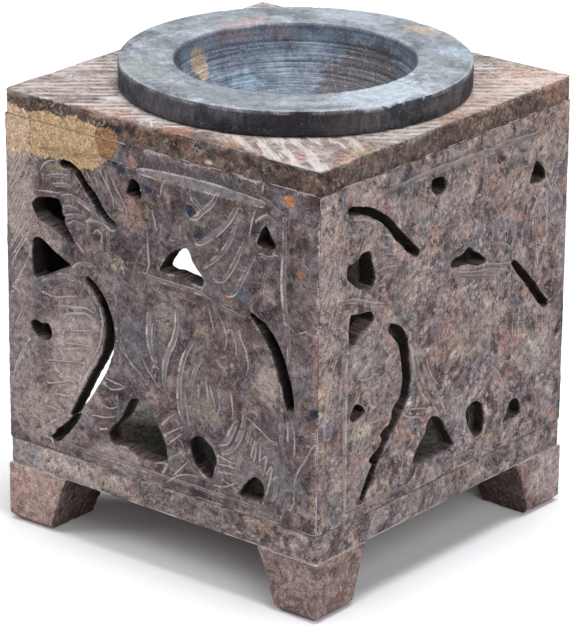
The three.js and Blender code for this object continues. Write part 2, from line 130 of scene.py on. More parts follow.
# The carved lines, as (width, points). A point is (across from the middle, height) in millimetres, as seen
# from outside the panel.
FRONT_STROKES = (
    # Border
    (0.5, ((-30, 81.3), (-20, 82.1), (-10, 82.4), (-4, 82.1))),
    (1.5, ((-5, 82.0), (5, 82.3), (15, 82.4), (26, 82.1))),
    (0.6, ((24.5, 83.4), (28, 82.4), (30.8, 81.3))),
    (0.8, ((31, 81), (31.2, 75), (31, 68), (31.5, 62), (32.3, 57), (32.5, 52))),
    (0.5, ((-30, 20.2), (-15, 20.3), (0, 20.3), (12, 20.4), (25, 20.1), (31, 19.1))),
    (0.4, ((26.2, 86.5), (25.5, 84))),
    # Forehead and eye
    (0.5, ((-28.5, 75.8), (-25.5, 76.6), (-23.5, 76.8))),
    (0.6, ((-27, 74.3), (-24, 74.9), (-21, 74.4))),
    (0.6, ((-25, 72.4), (-22.5, 73), (-19.5, 72.4), (-17, 71.2), (-15.5, 70.2))),
    (0.6, ((-24.5, 70.4), (-22, 70.6), (-19.5, 70.2))),
    (0.7, ((-24.3, 68.3), (-21.5, 69.1), (-18.5, 69.5))),
    (0.6, ((-23, 66.8), (-21.5, 67.8), (-19, 67.6))),
    (0.4, ((-21.2, 63.9), (-20, 62.8), (-18.8, 61.8))),
    (0.4, ((-31.5, 72.2), (-28, 72.7), (-25.5, 72.9))),
    (0.5, ((-18, 68.8), (-17.8, 66), (-16, 64.2), (-14.5, 63.6))),
    (0.5, ((-18, 68.8), (-15.5, 69), (-13, 68.5), (-12.8, 66), (-12.9, 63.3))),
    (0.3, ((-16.6, 66.6), (-15.6, 67.6), (-14.4, 66.9), (-14.6, 65.6))),
    (0.4, ((-14, 69), (-12, 68.3), (-10.3, 68.9))),
    (0.3, ((-16.3, 79), (-15, 75.9))),
    (0.3, ((-14.8, 79.8), (-13, 77.5), (-11.5, 74.9), (-11.2, 73))),
    (0.35, ((-12, 79.5), (-10.5, 77), (-8.8, 74.5), (-8, 72.5), (-8.6, 70.3))),
    (0.3, ((-13.5, 80.5), (-12.8, 78))),
    (0.3, ((-30.5, 76.5), (-29, 78.5), (-26.5, 79.6))),
    (0.3, ((-18.5, 79.4), (-17.2, 77.2))),
    (0.7, ((-30, 53.5), (-27, 55.2), (-23.5, 56.1), (-20.5, 55.6))),
    (0.6, ((-22.3, 57.7), (-20.5, 59.3), (-18, 59.9), (-16, 59.6))),
    (0.5, ((-11.2, 55), (-11.1, 51), (-10.9, 48.5), (-10.4, 46.8))),
    (0.3, ((-12.9, 54.1), (-11.6, 54))),
    # Ribs of the trunk
    (0.35, ((-16.9, 53.6), (-15.2, 51.5), (-14.5, 49), (-14.6, 46.5), (-15.3, 43.8), (-17, 40.5))),
    (0.35, ((-17.4, 39.2), (-18.6, 37), (-21, 32.5))),
    (0.3, ((-30, 51.2), (-27, 51), (-24, 51.8), (-21, 52.6))),
    (0.4, ((-27.5, 49), (-25, 49.6), (-22.5, 50), (-19, 50.6), (-16.5, 50.1))),
    (0.4, ((-24.8, 46.6), (-24, 48), (-21, 49), (-18.5, 49.4), (-16.5, 48.5))),
    (0.5, ((-24.5, 43.2), (-24.5, 44.2), (-21, 45), (-18, 45.8), (-16, 46))),
    (0.4, ((-24.3, 42), (-20, 42.5), (-17, 42.9))),
    (0.35, ((-26.5, 40.2), (-23, 41), (-20, 42), (-18, 42.1))),
    (0.5, ((-28.5, 37), (-25, 37.6), (-22, 38.1), (-19.5, 38.5))),
    (0.5, ((-28.8, 32), (-26, 32.8), (-24, 33.6), (-22.5, 34))),
    (0.4, ((-30, 27.3), (-28, 27.2), (-26, 26.6), (-25, 26.9))),
    (0.4, ((-29, 23.5), (-27.5, 24.6), (-26.5, 24.9))),
    (0.3, ((-27, 30.5), (-24, 30.8), (-22.8, 31.1))),
    (0.3, ((-35.5, 26.5), (-33, 24.5), (-30.5, 23.4))),
    # Chest and shoulder
    (0.3, ((-14.2, 35.8), (-12, 35.2), (-9, 36.2))),
    (0.3, ((-13.6, 37.2), (-11, 36.8), (-8.5, 36.6))),
    (0.3, ((-16, 31.8), (-13, 31), (-10.8, 32), (-12, 33.2))),
    (0.3, ((-17, 28.5), (-14, 28.8), (-11.5, 29.6))),
    (0.3, ((-15, 26), (-13.6, 26.4))),
    (0.3, ((-9.5, 46), (-8, 43), (-6, 40.5))),
    (0.4, ((-10.9, 46.5), (-9.8, 44.5), (-7.5, 42.3), (-5, 40.5), (-3, 38.6))),
    (0.4, ((-5, 45), (-3, 42), (-0.5, 39.3), (1, 38.4))),
    (0.9, ((-2.2, 55), (-2.4, 50), (-2, 46.5), (-1, 44))),
    (0.6, ((-0.8, 53), (-1.2, 49), (-0.5, 45))),
    (0.9, ((4.6, 56), (4.8, 53), (4, 49.5), (2.5, 46.5), (1.6, 43), (1.4, 39))),
    # Saddle cloth and belly
    (0.8, ((9, 50.8), (7.5, 48.5), (6.2, 45.5), (5.5, 42), (5.3, 39), (5.6, 35.5), (6.8, 32.8), (7.6, 32))),
    (0.6, ((11.4, 47.7), (9.8, 45.5), (8.7, 42.5), (8.2, 39.5), (8.4, 36.8))),
    (0.4, ((18.3, 43), (18.8, 40), (18.9, 37))),
    (0.8, ((21.8, 40), (21.7, 37), (20.5, 33.5), (18.5, 30.5), (16.5, 29.4))),
    (0.9, ((19.8, 36.8), (18.7, 34.5), (17.5, 32.2), (15.4, 31))),
    (0.3, ((12, 43.5), (12.6, 41), (12.8, 38.3))),
    (0.35, ((13, 43), (13.8, 40.5), (14.4, 38.5), (14, 37.2))),
    (0.3, ((15.3, 41), (15.6, 38.8), (15.2, 37.4))),
    (0.3, ((10.3, 42), (10.3, 38.6))),
    (0.4, ((7.2, 36.5), (7.6, 34), (8.3, 32.6))),
    (0.6, ((-4, 61.3), (0, 61.1), (5, 61), (10, 60.9), (13, 60.2), (15, 59.6))),
    (0.5, ((15, 59.6), (18, 59), (21.8, 58.6))),
    (0.4, ((12.8, 59), (13.5, 56), (14.6, 53.2))),
    (0.4, ((15, 57.8), (16.3, 56), (17.2, 53.3), (17, 51.5), (16.6, 50.5))),
    (0.3, ((18.3, 55), (19.5, 52.5), (19.8, 50.5))),
    (0.4, ((20.5, 54.5), (22, 52), (22.6, 49), (22.3, 47.5))),
    (0.5, ((-1, 58.5), (2, 57.8), (4.5, 56.5))),
    # Fan over the rump
    (0.8, ((14.9, 82), (13.5, 79.5), (11.5, 77.8), (9.8, 76), (8.2, 75.5))),
    (0.6, ((8.2, 79.8), (10, 78.7), (11, 77.8))),
    (0.9, ((19.6, 80), (18, 77.5), (15.5, 74.8), (13, 72.6), (10.8, 71), (9.6, 70.8))),
    (0.7, ((19.4, 77), (18.3, 73.8), (16.5, 70.8), (14, 68.3), (11.8, 66.6))),
    (0.7, ((21.6, 74.2), (20, 70.6), (18, 67), (16.2, 64.8), (14.3, 64.3))),
    (0.7, ((24, 71.4), (22, 68), (20.3, 64.8), (18.8, 62.6), (17, 62.1))),
    (0.5, ((27.7, 70.5), (26.6, 67.8), (26, 65))),
    (0.35, ((24.3, 81), (23.3, 78), (22.8, 75.3))),
    (0.45, ((5.8, 81.5), (6.8, 78), (6.9, 74), (7, 71))),
    (0.4, ((-1.5, 75), (-0.8, 72.5), (-0.3, 71))),
    (0.5, ((0.2, 78), (1, 75.5), (2.5, 73), (3.8, 71.5))),
    (0.5, ((3.9, 71.4), (4, 70.4), (3, 70.1))),
    (0.4, ((5.6, 74), (5.3, 71.5))),
    (0.35, ((1.8, 81.5), (1, 80), (0.7, 78.5))),
    (0.4, ((-2.8, 70.5), (-2.6, 67), (-2.3, 64), (-2.9, 61.6))),
    (0.6, ((24.8, 78.7), (27.2, 80.1), (29.5, 78.8))),
    (0.5, ((25.3, 72.1), (27.5, 72), (29.5, 72.8))),
    (0.4, ((30.5, 60), (33, 59), (34.5, 58))),
    (0.4, ((35, 58.6), (37, 59.6))),
    # Tail and hind leg
    (0.45, ((23.5, 37.5), (22.5, 34), (21.6, 31))),
    (0.4, ((24.5, 34), (23.8, 32), (23.5, 30.5))),
    (0.4, ((24.8, 33.8), (24.5, 31), (24.1, 29.5))),
    (0.35, ((25.9, 33), (25.5, 29.5))),
    (0.4, ((25.8, 30.4), (27.3, 31.5), (26.8, 29), (26.4, 27))),
    (0.4, ((27.3, 28.2), (28.6, 29.7), (28.2, 27), (27.5, 24.5), (26.9, 22.4), (26.3, 21.2))),
    (0.45, ((29, 27), (30, 27.8), (29.6, 25), (28.8, 22.8))),
    (0.5, ((33, 25.5), (32.3, 23.5), (31.6, 21.5), (30.6, 20.1))),
    (0.4, ((34, 26.5), (34, 24), (33.3, 22))),
    (0.4, ((22, 38.5), (25, 37), (28, 35.3), (29.5, 35))),
    (0.5, ((30.8, 42), (31, 38), (31, 35), (32.2, 32.5), (33.8, 30.3))),
    (0.3, ((33.6, 40), (34.2, 36), (34.1, 33.5))),
    (0.3, ((32.5, 40), (32.5, 36))),
    (0.35, ((38.8, 37), (36.8, 33.5), (34.8, 30), (34, 27))),
    (0.5, ((30, 31), (32.8, 29.6))),
    # Front leg and ground
    (0.5, ((0.6, 30.5), (2.5, 32.5), (4.5, 34.3))),
    (0.3, ((1.4, 29), (3.5, 30.5), (6, 32))),
    (0.3, ((2.4, 27.4), (4.5, 29.3), (6, 30.5))),
    (0.5, ((1.6, 21.4), (3, 24.2), (4.2, 25.2), (6.2, 26.6))),
    (0.3, ((4, 21.5), (6.5, 24), (8, 25.6))),
    (0.3, ((2, 19.2), (5, 21.5), (8, 22.5), (10.5, 22.6))),
    (0.3, ((15, 28.7), (17, 28.2), (19.5, 27.8))),
    (0.3, ((15, 26.8), (18, 27), (20.5, 27))),
    (0.3, ((14.8, 25), (17.5, 25.5), (20, 25.5))),
    (0.3, ((13.9, 22), (17, 22.5), (20.2, 24.3))),
    (0.3, ((16.5, 23.8), (19, 23), (20.6, 22.3))),
)
RIGHT_STROKES = (
    # Border
    (1.0, ((-20, 82.4), (-5, 82.8), (5, 82.5), (15, 82.3), (25, 81.9), (31, 82.1))),
    (0.4, ((13, 83.3), (20, 82.9), (30, 82))),
    (0.8, ((-31.4, 53), (-31.6, 40), (-31.5, 30), (-31.4, 20))),
    (0.5, ((32.3, 69), (32.5, 65), (32.4, 61))),
    (0.5, ((-31, 20.5), (-15, 20), (-5, 19.6))),
    (0.5, ((0, 20.5), (10, 20.4))),
    (0.3, ((8, 21), (9, 20.8), (10, 20.3))),
    # Forehead
    (0.4, ((-30, 79.6), (-25, 78.3), (-21, 75.8))),
    (0.5, ((-34.5, 76.5), (-33, 78), (-32, 80))),
    (0.4, ((-21.5, 74.5), (-18.5, 73.5), (-16, 71.5))),
    (0.5, ((-23.5, 71), (-21, 71.5), (-18.5, 70.8))),
    (0.5, ((-23.3, 69.5), (-20, 70), (-17, 69))),
    (0.5, ((-23, 68.3), (-19.5, 68.8), (-16.3, 68.3))),
    (0.5, ((-22.5, 67), (-19, 67), (-15.5, 66.5))),
    (0.7, ((-33, 64), (-29, 63.3), (-24, 61.2), (-20, 60))),
    # Trunk and ear
    (0.4, ((-28, 47), (-24.5, 46), (-22, 46.8))),
    (0.4, ((-25, 43.8), (-20, 45.3), (-15.5, 47.5))),
    (0.4, ((-25, 38.8), (-22, 39.5), (-20, 40))),
    (0.4, ((-24.5, 37), (-22, 36.6), (-20.5, 37.3))),
    (0.4, ((-29, 30.7), (-25, 32.3), (-20.5, 34))),
    (0.6, ((-11.8, 52), (-11.2, 48), (-10.2, 44), (-9, 40.5), (-7, 37), (-5, 35))),
    (0.5, ((-9.8, 49), (-9.4, 45.5), (-8, 41.5), (-6, 38))),
    (0.5, ((-8.2, 47.5), (-7.2, 44), (-5.5, 40.5), (-3, 37), (-1, 34), (0.5, 31))),
    (0.4, ((-6.5, 45.5), (-4.8, 41.5), (-2.5, 38.5))),
    (0.4, ((-13.5, 35.5), (-11, 34), (-8, 33.2))),
    (0.3, ((-12, 36), (-8, 35), (-5, 34))),
    # Tail and crupper
    (0.6, ((20.8, 75.9), (22.8, 77.6), (24.4, 78.5))),
    (0.4, ((24.5, 70), (25.5, 72.8))),
    (0.5, ((29.2, 68.5), (28.2, 67), (26.9, 65.1))),
    (0.4, ((28, 69.5), (29.3, 68.3))),
    (0.5, ((30, 67.8), (31.5, 66.5), (33.3, 63.5))),
    (0.4, ((30.8, 65.1), (29, 62.6))),
    (0.5, ((35.8, 68.7), (37.4, 66.2))),
    (0.5, ((30.8, 76), (31.8, 73.5), (32.5, 71), (34, 68.5))),
    (0.4, ((4.5, 75.5), (5.3, 73.8))),
    # Back
    (0.6, ((1.5, 60.5), (8, 58.5), (14, 57.5), (20, 55.7))),
    (0.5, ((4, 59), (10, 57.3), (17, 55.6))),
    (0.5, ((11, 59.5), (16, 58), (21, 57))),
    (0.6, ((14, 63), (18, 61.8), (21, 60))),
    (0.3, ((13.5, 54.5), (14.5, 51.5))),
    # Legs
    (0.4, ((15, 37.3), (18, 34.5), (20, 30.1))),
    (0.4, ((20.8, 31.9), (21.5, 29.5), (23.6, 28.4))),
    (0.4, ((-3.9, 34.4), (-2.5, 33), (-1.4, 30.9))),
) + tuple((0.25, ((across, 38.5 + across % 3), (across + 0.2, 46 + across % 2)))
          for across in range(22, 36, 2))
PLAIN_STROKES = (
    (0.5, ((-33, 20.5), (-33, 50), (-32.6, 82))),
    (0.5, ((33, 20.5), (33, 50), (32.8, 82))),
    (0.6, ((-33, 82), (-10, 82.3), (10, 82.1), (33, 82.2))),
)


def spot(across, up, radius, count=10):
    """A round outline."""
    return tuple((across + radius * math.cos(turn), up + radius * math.sin(turn))
                 for turn in (math.tau * step / count for step in range(count)))


# Broad scooped-out bands, as (width, depth, points)
FRONT_HOLLOWS = (
    (2.2, 0.5, ((-33, 68), (-32, 65.5), (-28, 63.5), (-24, 62.3))),
    (2.4, 0.35, ((-5, 83.6), (10, 83.8), (27, 83.5))),
    (1.6, 0.25, ((31.3, 81), (31.2, 70), (32.4, 52))),
    (1.9, 0.3, ((27, 58.5), (30, 55), (32.5, 49), (33.4, 45))),
)
RIGHT_HOLLOWS = (
    (1.5, 0.3, ((-28, 64.5), (-23, 63.5), (-20.5, 61))),
    (1.2, 0.35, ((-17, 55.5), (-14.5, 54.5), (-12.8, 52), (-12.3, 49.5))),
    (1.8, 0.25, ((-20, 82), (-5, 82.5), (15, 81.6), (31, 81.8))),
)


def hatching(middle, reach, heading, count, long, seed):
    """Fine lines side by side, scattered round a place, as rows of width and points."""
    draw = np.random.default_rng(seed)
    rows = []
    for _ in range(count):
        angle = math.radians(heading + draw.uniform(-7, 7))
        centre = np.array(middle) + draw.uniform(-1, 1, 2) * reach
        half = np.array([math.cos(angle), math.sin(angle)]) * long * draw.uniform(0.35, 0.55)
        bend = np.array([-half[1], half[0]]) * draw.uniform(-0.08, 0.08)
        rows.append((draw.uniform(0.14, 0.26), (centre - half, centre + bend, centre + half)))
    return tuple(rows)


FRONT_HATCHING = (
    hatching((-36.2, 66), (0.9, 15), 60, 24, 10, 1)
    + hatching((-36.4, 38), (1.0, 10), 66, 5, 7, 2)
)
RIGHT_HATCHING = (
    hatching((-36.4, 60), (1.2, 16), 68, 28, 10, 7)
    + hatching((-27, 38), (3, 6), 55, 12, 7, 8)
    + hatching((0, 78), (14, 4), 74, 14, 5, 9)
    + hatching((24, 58), (9, 9), 84, 12, 6, 10)
    + hatching((36, 60), (1.5, 14), 80, 10, 6, 11)
)
TOP_STROKES = (
    (0.3, ((-4.8, -39.8), (-5.2, -38), (-4.6, -36.7), (-1.8, -39.2), (-0.3, -38.7), (0.8, -37),
           (2.3, -36.5))),
)


def with_third(pair, axis, value):
    return (*pair[:axis], value, *pair[axis:])


def blots_at(axis, place, reach, rows):
    """Blots that share their place and their reach along an axis, which their rows leave out."""
    return tuple((with_third(middle, axis, place), with_third(size, axis, reach), tint, strength)
                 for middle, size, tint, strength in rows)


# Blots of colour, as (middle, reach, colour, strength), with places in the room
FRONT_BLOTS = blots_at(1, -HALF_BODY, BLOT_REACH, (
    # The first two blots, along the left edge, are pale partly as the stone's own colour and partly as
    # painted light for the glow along that edge
    ((-36, 40), (5, 22), (0.36, 0.295, 0.29), 0.6),
    ((-37, 72), (6, 12), (0.54, 0.41, 0.38), 0.75),
    ((-22, 40), (8, 14), (0.50, 0.405, 0.38), 0.7),
    ((-30, 62), (5, 6), (0.42, 0.33, 0.30), 0.5),
    ((-30, 25), (10, 6), (0.46, 0.375, 0.35), 0.6),
    ((-10, 21), (9, 3), (0.46, 0.375, 0.355), 0.6),
    ((-7, 46), (6, 8), SLATE, 0.5),
    ((-5, 57), (7, 4), (0.19, 0.165, 0.165), 0.4),
    ((2, 53), (3, 4), (0.40, 0.35, 0.28), 0.5),
    ((27.5, 46.5), (4, 4), CREAM, 0.45),
    ((12, 40), (4, 6), (0.30, 0.26, 0.21), 0.4),
    ((25, 28), (10, 8), (0.28, 0.265, 0.275), 0.4),
    ((15, 70), (10, 10), (0.15, 0.125, 0.125), 0.5),
    # A dark band over the broad hollow under the lid: painted shade in the hollow
    ((5, 84.5), (22, 1.5), (0.14, 0.13, 0.14), 0.6),
    ((36, 60), (3, 25), (0.21, 0.165, 0.165), 0.4),
    ((39.3, 45), (1.2, 30), (0.36, 0.22, 0.19), 0.5),
    ((-6.5, 73.5), (3, 4), ROSE, 0.5),
    ((10.8, 77.5), (1.6, 1.2), OLIVE, 0.7),
    ((-26.5, 77.5), (2.4, 1.4), OLIVE, 0.7),
    ((-25, 33), (3, 3), (0.42, 0.34, 0.24), 0.6),
))
RIGHT_BLOTS = blots_at(0, HALF_BODY, BLOT_REACH, (
    ((-36, 70), (4, 15), (0.44, 0.35, 0.32), 0.5),
    ((-38, 47), (3, 3), (0.56, 0.40, 0.28), 0.7),
    ((-40.5, 44), (1.2, 1.3), INK, 0.9),
    ((-25, 50), (5, 5), (0.31, 0.30, 0.30), 0.5),
    ((-12, 63), (6, 3), (0.40, 0.33, 0.27), 0.45),
    ((-3, 62), (4, 3), (0.19, 0.195, 0.23), 0.45),
    ((-26, 36), (3, 1.5), CREAM, 0.65),
    ((-28, 33), (4, 1.5), (0.24, 0.2, 0.22), 0.5),
    ((10, 45), (8, 5), (0.38, 0.3, 0.26), 0.4),
    ((30, 36), (6, 5), (0.48, 0.42, 0.39), 0.5),
    ((33, 66), (4, 3), (0.23, 0.24, 0.27), 0.5),
    ((38, 58), (2, 8), (0.26, 0.25, 0.27), 0.5),
    ((5, 30), (4, 4), (0.28, 0.29, 0.31), 0.4),
    ((25, 80), (6, 4), (0.31, 0.29, 0.27), 0.4),
))
PLAIN_BLOTS = (
    ((0, 40, 60), (20, 4, 12), (0.30, 0.25, 0.235), 0.5),
    ((-40, 10, 75), (4, 14, 8), (0.28, 0.24, 0.23), 0.5),
    ((-40, -34, 40), (4, 5, 20), ROSE, 0.4),
)
BASE_BLOTS = blots_at(1, -HALF_BODY, BLOT_REACH, (
    ((-26, 16), (16, 5), (0.44, 0.375, 0.355), 0.6),
    ((-25, 16), (5, 2), PALE_TAN, 0.5),
    ((-12, 15), (3, 2), (0.52, 0.41, 0.31), 0.6),
    ((-33, 15.5), (3, 2), SLATE, 0.7),
    ((8, 15), (12, 3), (0.18, 0.145, 0.145), 0.5),
    ((25, 17), (4, 2), (0.42, 0.30, 0.24), 0.6),
)) + (
    ((40, 0, 15), (4, 14, 3), (0.2, 0.175, 0.165), 0.4),
    # The floor inside: pale sawn stone, made paler still as painted light for the light that comes in
    # through the openings
    ((0, 0, 18.4), (36, 36, 1.2), (0.76, 0.75, 0.66), 0.9),
)
TOP_BLOTS = blots_at(2, SLAB_TOP - LID_BLOT_DEPTH, LID_BLOT_REACH, (
    ((-14, -38), (9, 3), (0.45, 0.30, 0.26), 0.75),
    ((-4, -37), (4, 3), (0.50, 0.45, 0.42), 0.75),
    ((3, -37.5), (4, 3), (0.44, 0.22, 0.16), 0.75),
    ((10, -37.5), (3, 3), (0.22, 0.16, 0.14), 0.75),
    ((16, -37.5), (2.4, 3), (0.46, 0.29, 0.22), 0.75),
    ((21, -37.5), (3, 3), (0.27, 0.20, 0.18), 0.75),
    ((26, -36), (2.6, 3), (0.32, 0.30, 0.23), 0.75),
    ((31, -36), (2.6, 3), (0.44, 0.26, 0.23), 0.75),
    ((35.5, -37), (2.6, 3), (0.32, 0.29, 0.30), 0.75),
    ((38, -31), (2.6, 3), (0.42, 0.24, 0.20), 0.75),
    ((37, -25), (2.6, 3), (0.36, 0.27, 0.18), 0.75),
    ((38, -19), (2.4, 3), (0.24, 0.20, 0.19), 0.75),
    ((37, -10), (4, 7), (0.56, 0.52, 0.48), 0.5),
    ((34, 32), (9, 9), (0.64, 0.44, 0.38), 0.7),
    ((35, 10), (6, 14), (0.58, 0.39, 0.33), 0.7),
    ((-36, -36), (5, 6), (0.40, 0.34, 0.32), 0.5),
)) + (
    ((40, 0, 89), (1.5, 30, 1.6), (0.15, 0.105, 0.088), 0.5),
    ((40, -26, 89), (1.5, 8, 2), (0.20, 0.15, 0.13), 0.4),
    ((38, -40, 89), (4, 1.5, 2), (0.20, 0.125, 0.108), 0.6),
    ((40, 35, 89), (1.5, 6, 2.4), (0.33, 0.175, 0.145), 0.6),
    ((12.8, -40, 87.7), (1.1, 1.5, 0.5), CREAM, 0.9),
    ((-24, -40, 89.5), (9, 1.5, 2), (0.11, 0.085, 0.08), 0.55),
    ((4, -40, 87), (9, 1.5, 0.8), (0.24, 0.19, 0.175), 0.4),
)
FOOT_BLOTS = (
    ((-34, -41, 8), (10, 3, 10), (0.50, 0.345, 0.315), 0.75),
    ((34, -36, 8), (7, 7, 5), (0.33, 0.27, 0.267), 0.5),
    ((40, 36, 8), (8, 8, 6), (0.49, 0.43, 0.425), 0.6),
    # Near black on the sides of the front right foot that face in under the body: painted shade
    ((24, -32, 6), (6, 8, 7), (0.07, 0.05, 0.045), 0.4),
)
DISH_BLOTS = blots_at(2, DISH_HIGH[2], RIM_BLOT_REACH, (
    ((9, 30.5), (5, 2), (0.55, 0.44, 0.33), 0.7),
    ((-18, -25), (8, 5), (0.34, 0.39, 0.38), 0.5),
    ((-8, 29), (11, 5), (0.42, 0.47, 0.54), 0.6),
    ((24, 23), (6, 4), (0.42, 0.50, 0.60), 0.5),
    ((8, -29), (12, 4), (0.27, 0.30, 0.335), 0.65),
    ((29, -8), (7, 14), (0.54, 0.61, 0.70), 0.8),
)) + (
    ((1.5, 18, 88), (9, 8, 8), (0.088, 0.074, 0.074), 0.9),
    ((13, 12, 87), (8, 9, 8), (0.105, 0.090, 0.090), 0.85),
    ((-21.0, -3.0, 92), (3.4, 2.6, 3.8), (0.47, 0.36, 0.26), 0.9),
    ((-17, 6, 86), (5, 4, 3), (0.24, 0.33, 0.44), 0.5),
    ((-21, 8, 95), (3, 6, 1.6), (0.25, 0.20, 0.23), 0.55),
    ((-16, 16, 95), (4, 4, 1.6), (0.24, 0.20, 0.235), 0.55),
    ((-20, 11, 97), (5, 7, 0.8), (0.46, 0.40, 0.42), 0.6),
    ((-3, -34, 94), (9, 5, 3), (0.085, 0.08, 0.093), 0.6),
    # Lighter blue-grey on the left of the outer side: painted reflection
    ((-33, -9, 94), (6, 14, 4), (0.13, 0.14, 0.17), 0.6),
    ((30, -17, 94), (6, 7, 3), (0.08, 0.064, 0.063), 0.6),
    ((24, -27, 93.5), (11, 9, 3), (0.018, 0.014, 0.021), 0.8),
    # Lighter blue-grey on the left of the outer side: painted reflection
    ((-28, -20, 94), (8, 10, 3), (0.12, 0.12, 0.14), 0.6),
    ((35, 2, 94), (3, 8, 3), (0.085, 0.068, 0.066), 0.5),
)

# Sharp-edged patches of colour on the front, as (colour, outline), with places (across, height)
FRONT_PATCHES = (
    (OCHRE, ((-33, 88.2), (-31, 88.8), (-28.5, 89.3), (-25.5, 88.6), (-22, 89.5), (-18, 89.1), (-15.5, 88.6),
             (-15.5, 84), (-13.6, 82.4), (-13.2, 81.4), (-15, 80.4), (-18, 79.4), (-21, 79.1), (-24.3, 80.1),
             (-28, 79.8), (-31, 79.6), (-33, 79.3))),
    (PALE_OCHRE, ((-41, 89), (-36, 88.7), (-33, 88.2), (-33, 79.3), (-36.5, 78.9), (-39, 78.7),
                  (-41, 79.5))),
    (BROWN_OCHRE, ((-15.5, 88.6), (-13, 88.9), (-11.3, 89), (-10.2, 87.8), (-10.1, 86.2), (-10.9, 84.8),
                   (-11.8, 83.4), (-13.6, 82.4), (-15.5, 83.6))),
    (ORANGE, ((-18, 81.1), (-15, 81.3), (-13, 81.9), (-13.5, 81.2), (-16, 80.6), (-18.3, 80.6))),
    (INK, ((-14.6, 83.1), (-12.5, 83.2), (-10.8, 82.4), (-9.5, 82.5), (-8.1, 82.2), (-8, 80.9), (-9.2, 80.3),
           (-10.3, 80.8), (-10.8, 81.7), (-13, 82.5), (-14.6, 82.6))),
    (BROWN, ((-34.2, 85.6), (-33, 85.8), (-32.9, 84.9), (-33.6, 84), (-34.3, 84.4))),
    (BROWN, spot(-31.2, 80.4, 0.4)),
    (ORANGE, spot(32.3, 84.2, 1.3)),
    (ROSE, spot(-6.5, 83.5, 1.1)),
    (INK, spot(10.3, 72.7, 1.1)),
    (INK, spot(8.2, 77, 1.2)),
    (INK, spot(-2.5, 78.8, 0.9)),
    (INK, spot(38.8, 43.5, 1.1)),
    (SLATE, spot(21.5, 63, 1.8)),
    (RUST, spot(17.3, 61.2, 0.8)),
    (RUST, spot(35.5, 70.5, 1.0)),
)


# Smooth random fields

LATTICE_FACTORS = np.array([374761393, 668265263, 2147483647])
SEED_FACTOR = 1442695041
MIXING_FACTOR = 1274126177
LATTICE_MASK = 0xFFFFFF
FRACTAL_SUM = 1 + 1 / 2 + 1 / 4


def lattice(cells, seed):
    """A number from 0 to 1 for each whole-number cell, always the same."""
    mixed = cells @ LATTICE_FACTORS + seed * SEED_FACTOR
    mixed = (mixed ^ (mixed >> 13)) * MIXING_FACTOR
    mixed = mixed ^ (mixed >> 16)
    return (mixed & LATTICE_MASK) / LATTICE_MASK


def noise(points, size, seed=0):
    """Smooth noise from -1 to 1 with lumps of the given size."""
    scaled = np.asarray(points, float) / size
    low = np.floor(scaled).astype(np.int64)
    part = scaled - low
    part = part * part * (3 - 2 * part)
    total = np.zeros(scaled.shape[:-1])
    for corner in np.ndindex(2, 2, 2):
        weight = np.prod(np.where(corner, part, 1 - part), axis=-1)
        total += weight * lattice(low + np.array(corner), seed)
    return total * 2 - 1


def fractal(points, size, octaves=3, seed=0):
    """Noise with finer and weaker lumps added."""
    total = np.zeros(np.shape(points)[:-1])
    for octave in range(octaves):
        total += noise(points, size / 2 ** octave, seed + octave) / 2 ** octave
    return total / FRACTAL_SUM


def smooth_step(low, high, value):
    part = np.clip((value - low) / (high - low), 0, 1)
    return part * part * (3 - 2 * part)


def worn(distance, reach):
    """One at an edge, and less and less up to its reach."""
    return np.clip(1 - distance / reach, 0, 1) ** 2


def end_distance(values, low, high):
    """How far each value is from the nearer of two ends."""
    return np.minimum(values - low, high - values)


def lifted(points, height=0):
    """Flat points with a third coordinate, so that noise can be read there."""
    return np.column_stack([points, np.full(len(points), height)])


# Curves and outlines

def spline(points, spacing, closed=False):
    """Evenly spaced points on a Catmull-Rom curve through the given ones."""
    points = np.asarray(points, float)
    if closed:
        guides = np.concatenate([points[-1:], points, points[:2]])
    else:
        guides = np.concatenate([[points[0] * 2 - points[1]], points, [points[-1] * 2 - points[-2]]])
    steps = np.arange(0, 1, 0.1)[:, None]
    curve = []
    for p0, p1, p2, p3 in zip(guides, guides[1:], guides[2:], guides[3:]):
        curve.append(0.5 * (2 * p1 + (p2 - p0) * steps + (2 * p0 - 5 * p1 + 4 * p2 - p3) * steps ** 2
                            + (3 * p1 - p0 - 3 * p2 + p3) * steps ** 3))
    curve.append(points[:1] if closed else points[-1:])
    return resample(np.concatenate(curve), spacing, closed)


def resample(line, spacing, closed=False):
    """Evenly spaced points along a line. A closed one has its first point repeated at the end."""
    lengths = np.concatenate([[0], np.cumsum(np.linalg.norm(np.diff(line, axis=0), axis=1))])
    count = max(int(round(lengths[-1] / spacing)), 6 if closed else 1)
    places = np.linspace(0, lengths[-1], count + 1)
    even = np.stack([np.interp(places, lengths, line[:, axis]) for axis in range(line.shape[1])], -1)
    return even[:-1] if closed else even


def closed_line(loop):
    return np.vstack([loop, loop[:1]])


def signed_area(loop):
    after = np.roll(loop, -1, axis=0)
    return np.sum(loop[:, 0] * after[:, 1] - after[:, 0] * loop[:, 1]) / 2


def left_normals(line, closed):
    """Unit vectors to the left of a line's direction at each point."""
    if closed:
        along = np.roll(line, -1, axis=0) - np.roll(line, 1, axis=0)
    else:
        along = np.gradient(line, axis=0)
    along /= np.linalg.norm(along, axis=1, keepdims=True) + SMALL
    return np.stack([-along[:, 1], along[:, 0]], -1)


def inside(points, loop):
    """Which points lie inside a closed loop."""
    result = np.zeros(len(points), bool)
    after = np.roll(loop, -1, axis=0)
    for (x0, y0), (x1, y1) in zip(loop, after):
        if y0 != y1:
            crosses = (y0 > points[:, 1]) != (y1 > points[:, 1])
            result ^= crosses & (points[:, 0] < x0 + (points[:, 1] - y0) * (x1 - x0) / (y1 - y0))
    return result


def near_box(points, line, reach):
    """Which points lie within reach of a line's box."""
    return np.all((points > line.min(0) - reach) & (points < line.max(0) + reach), axis=1)


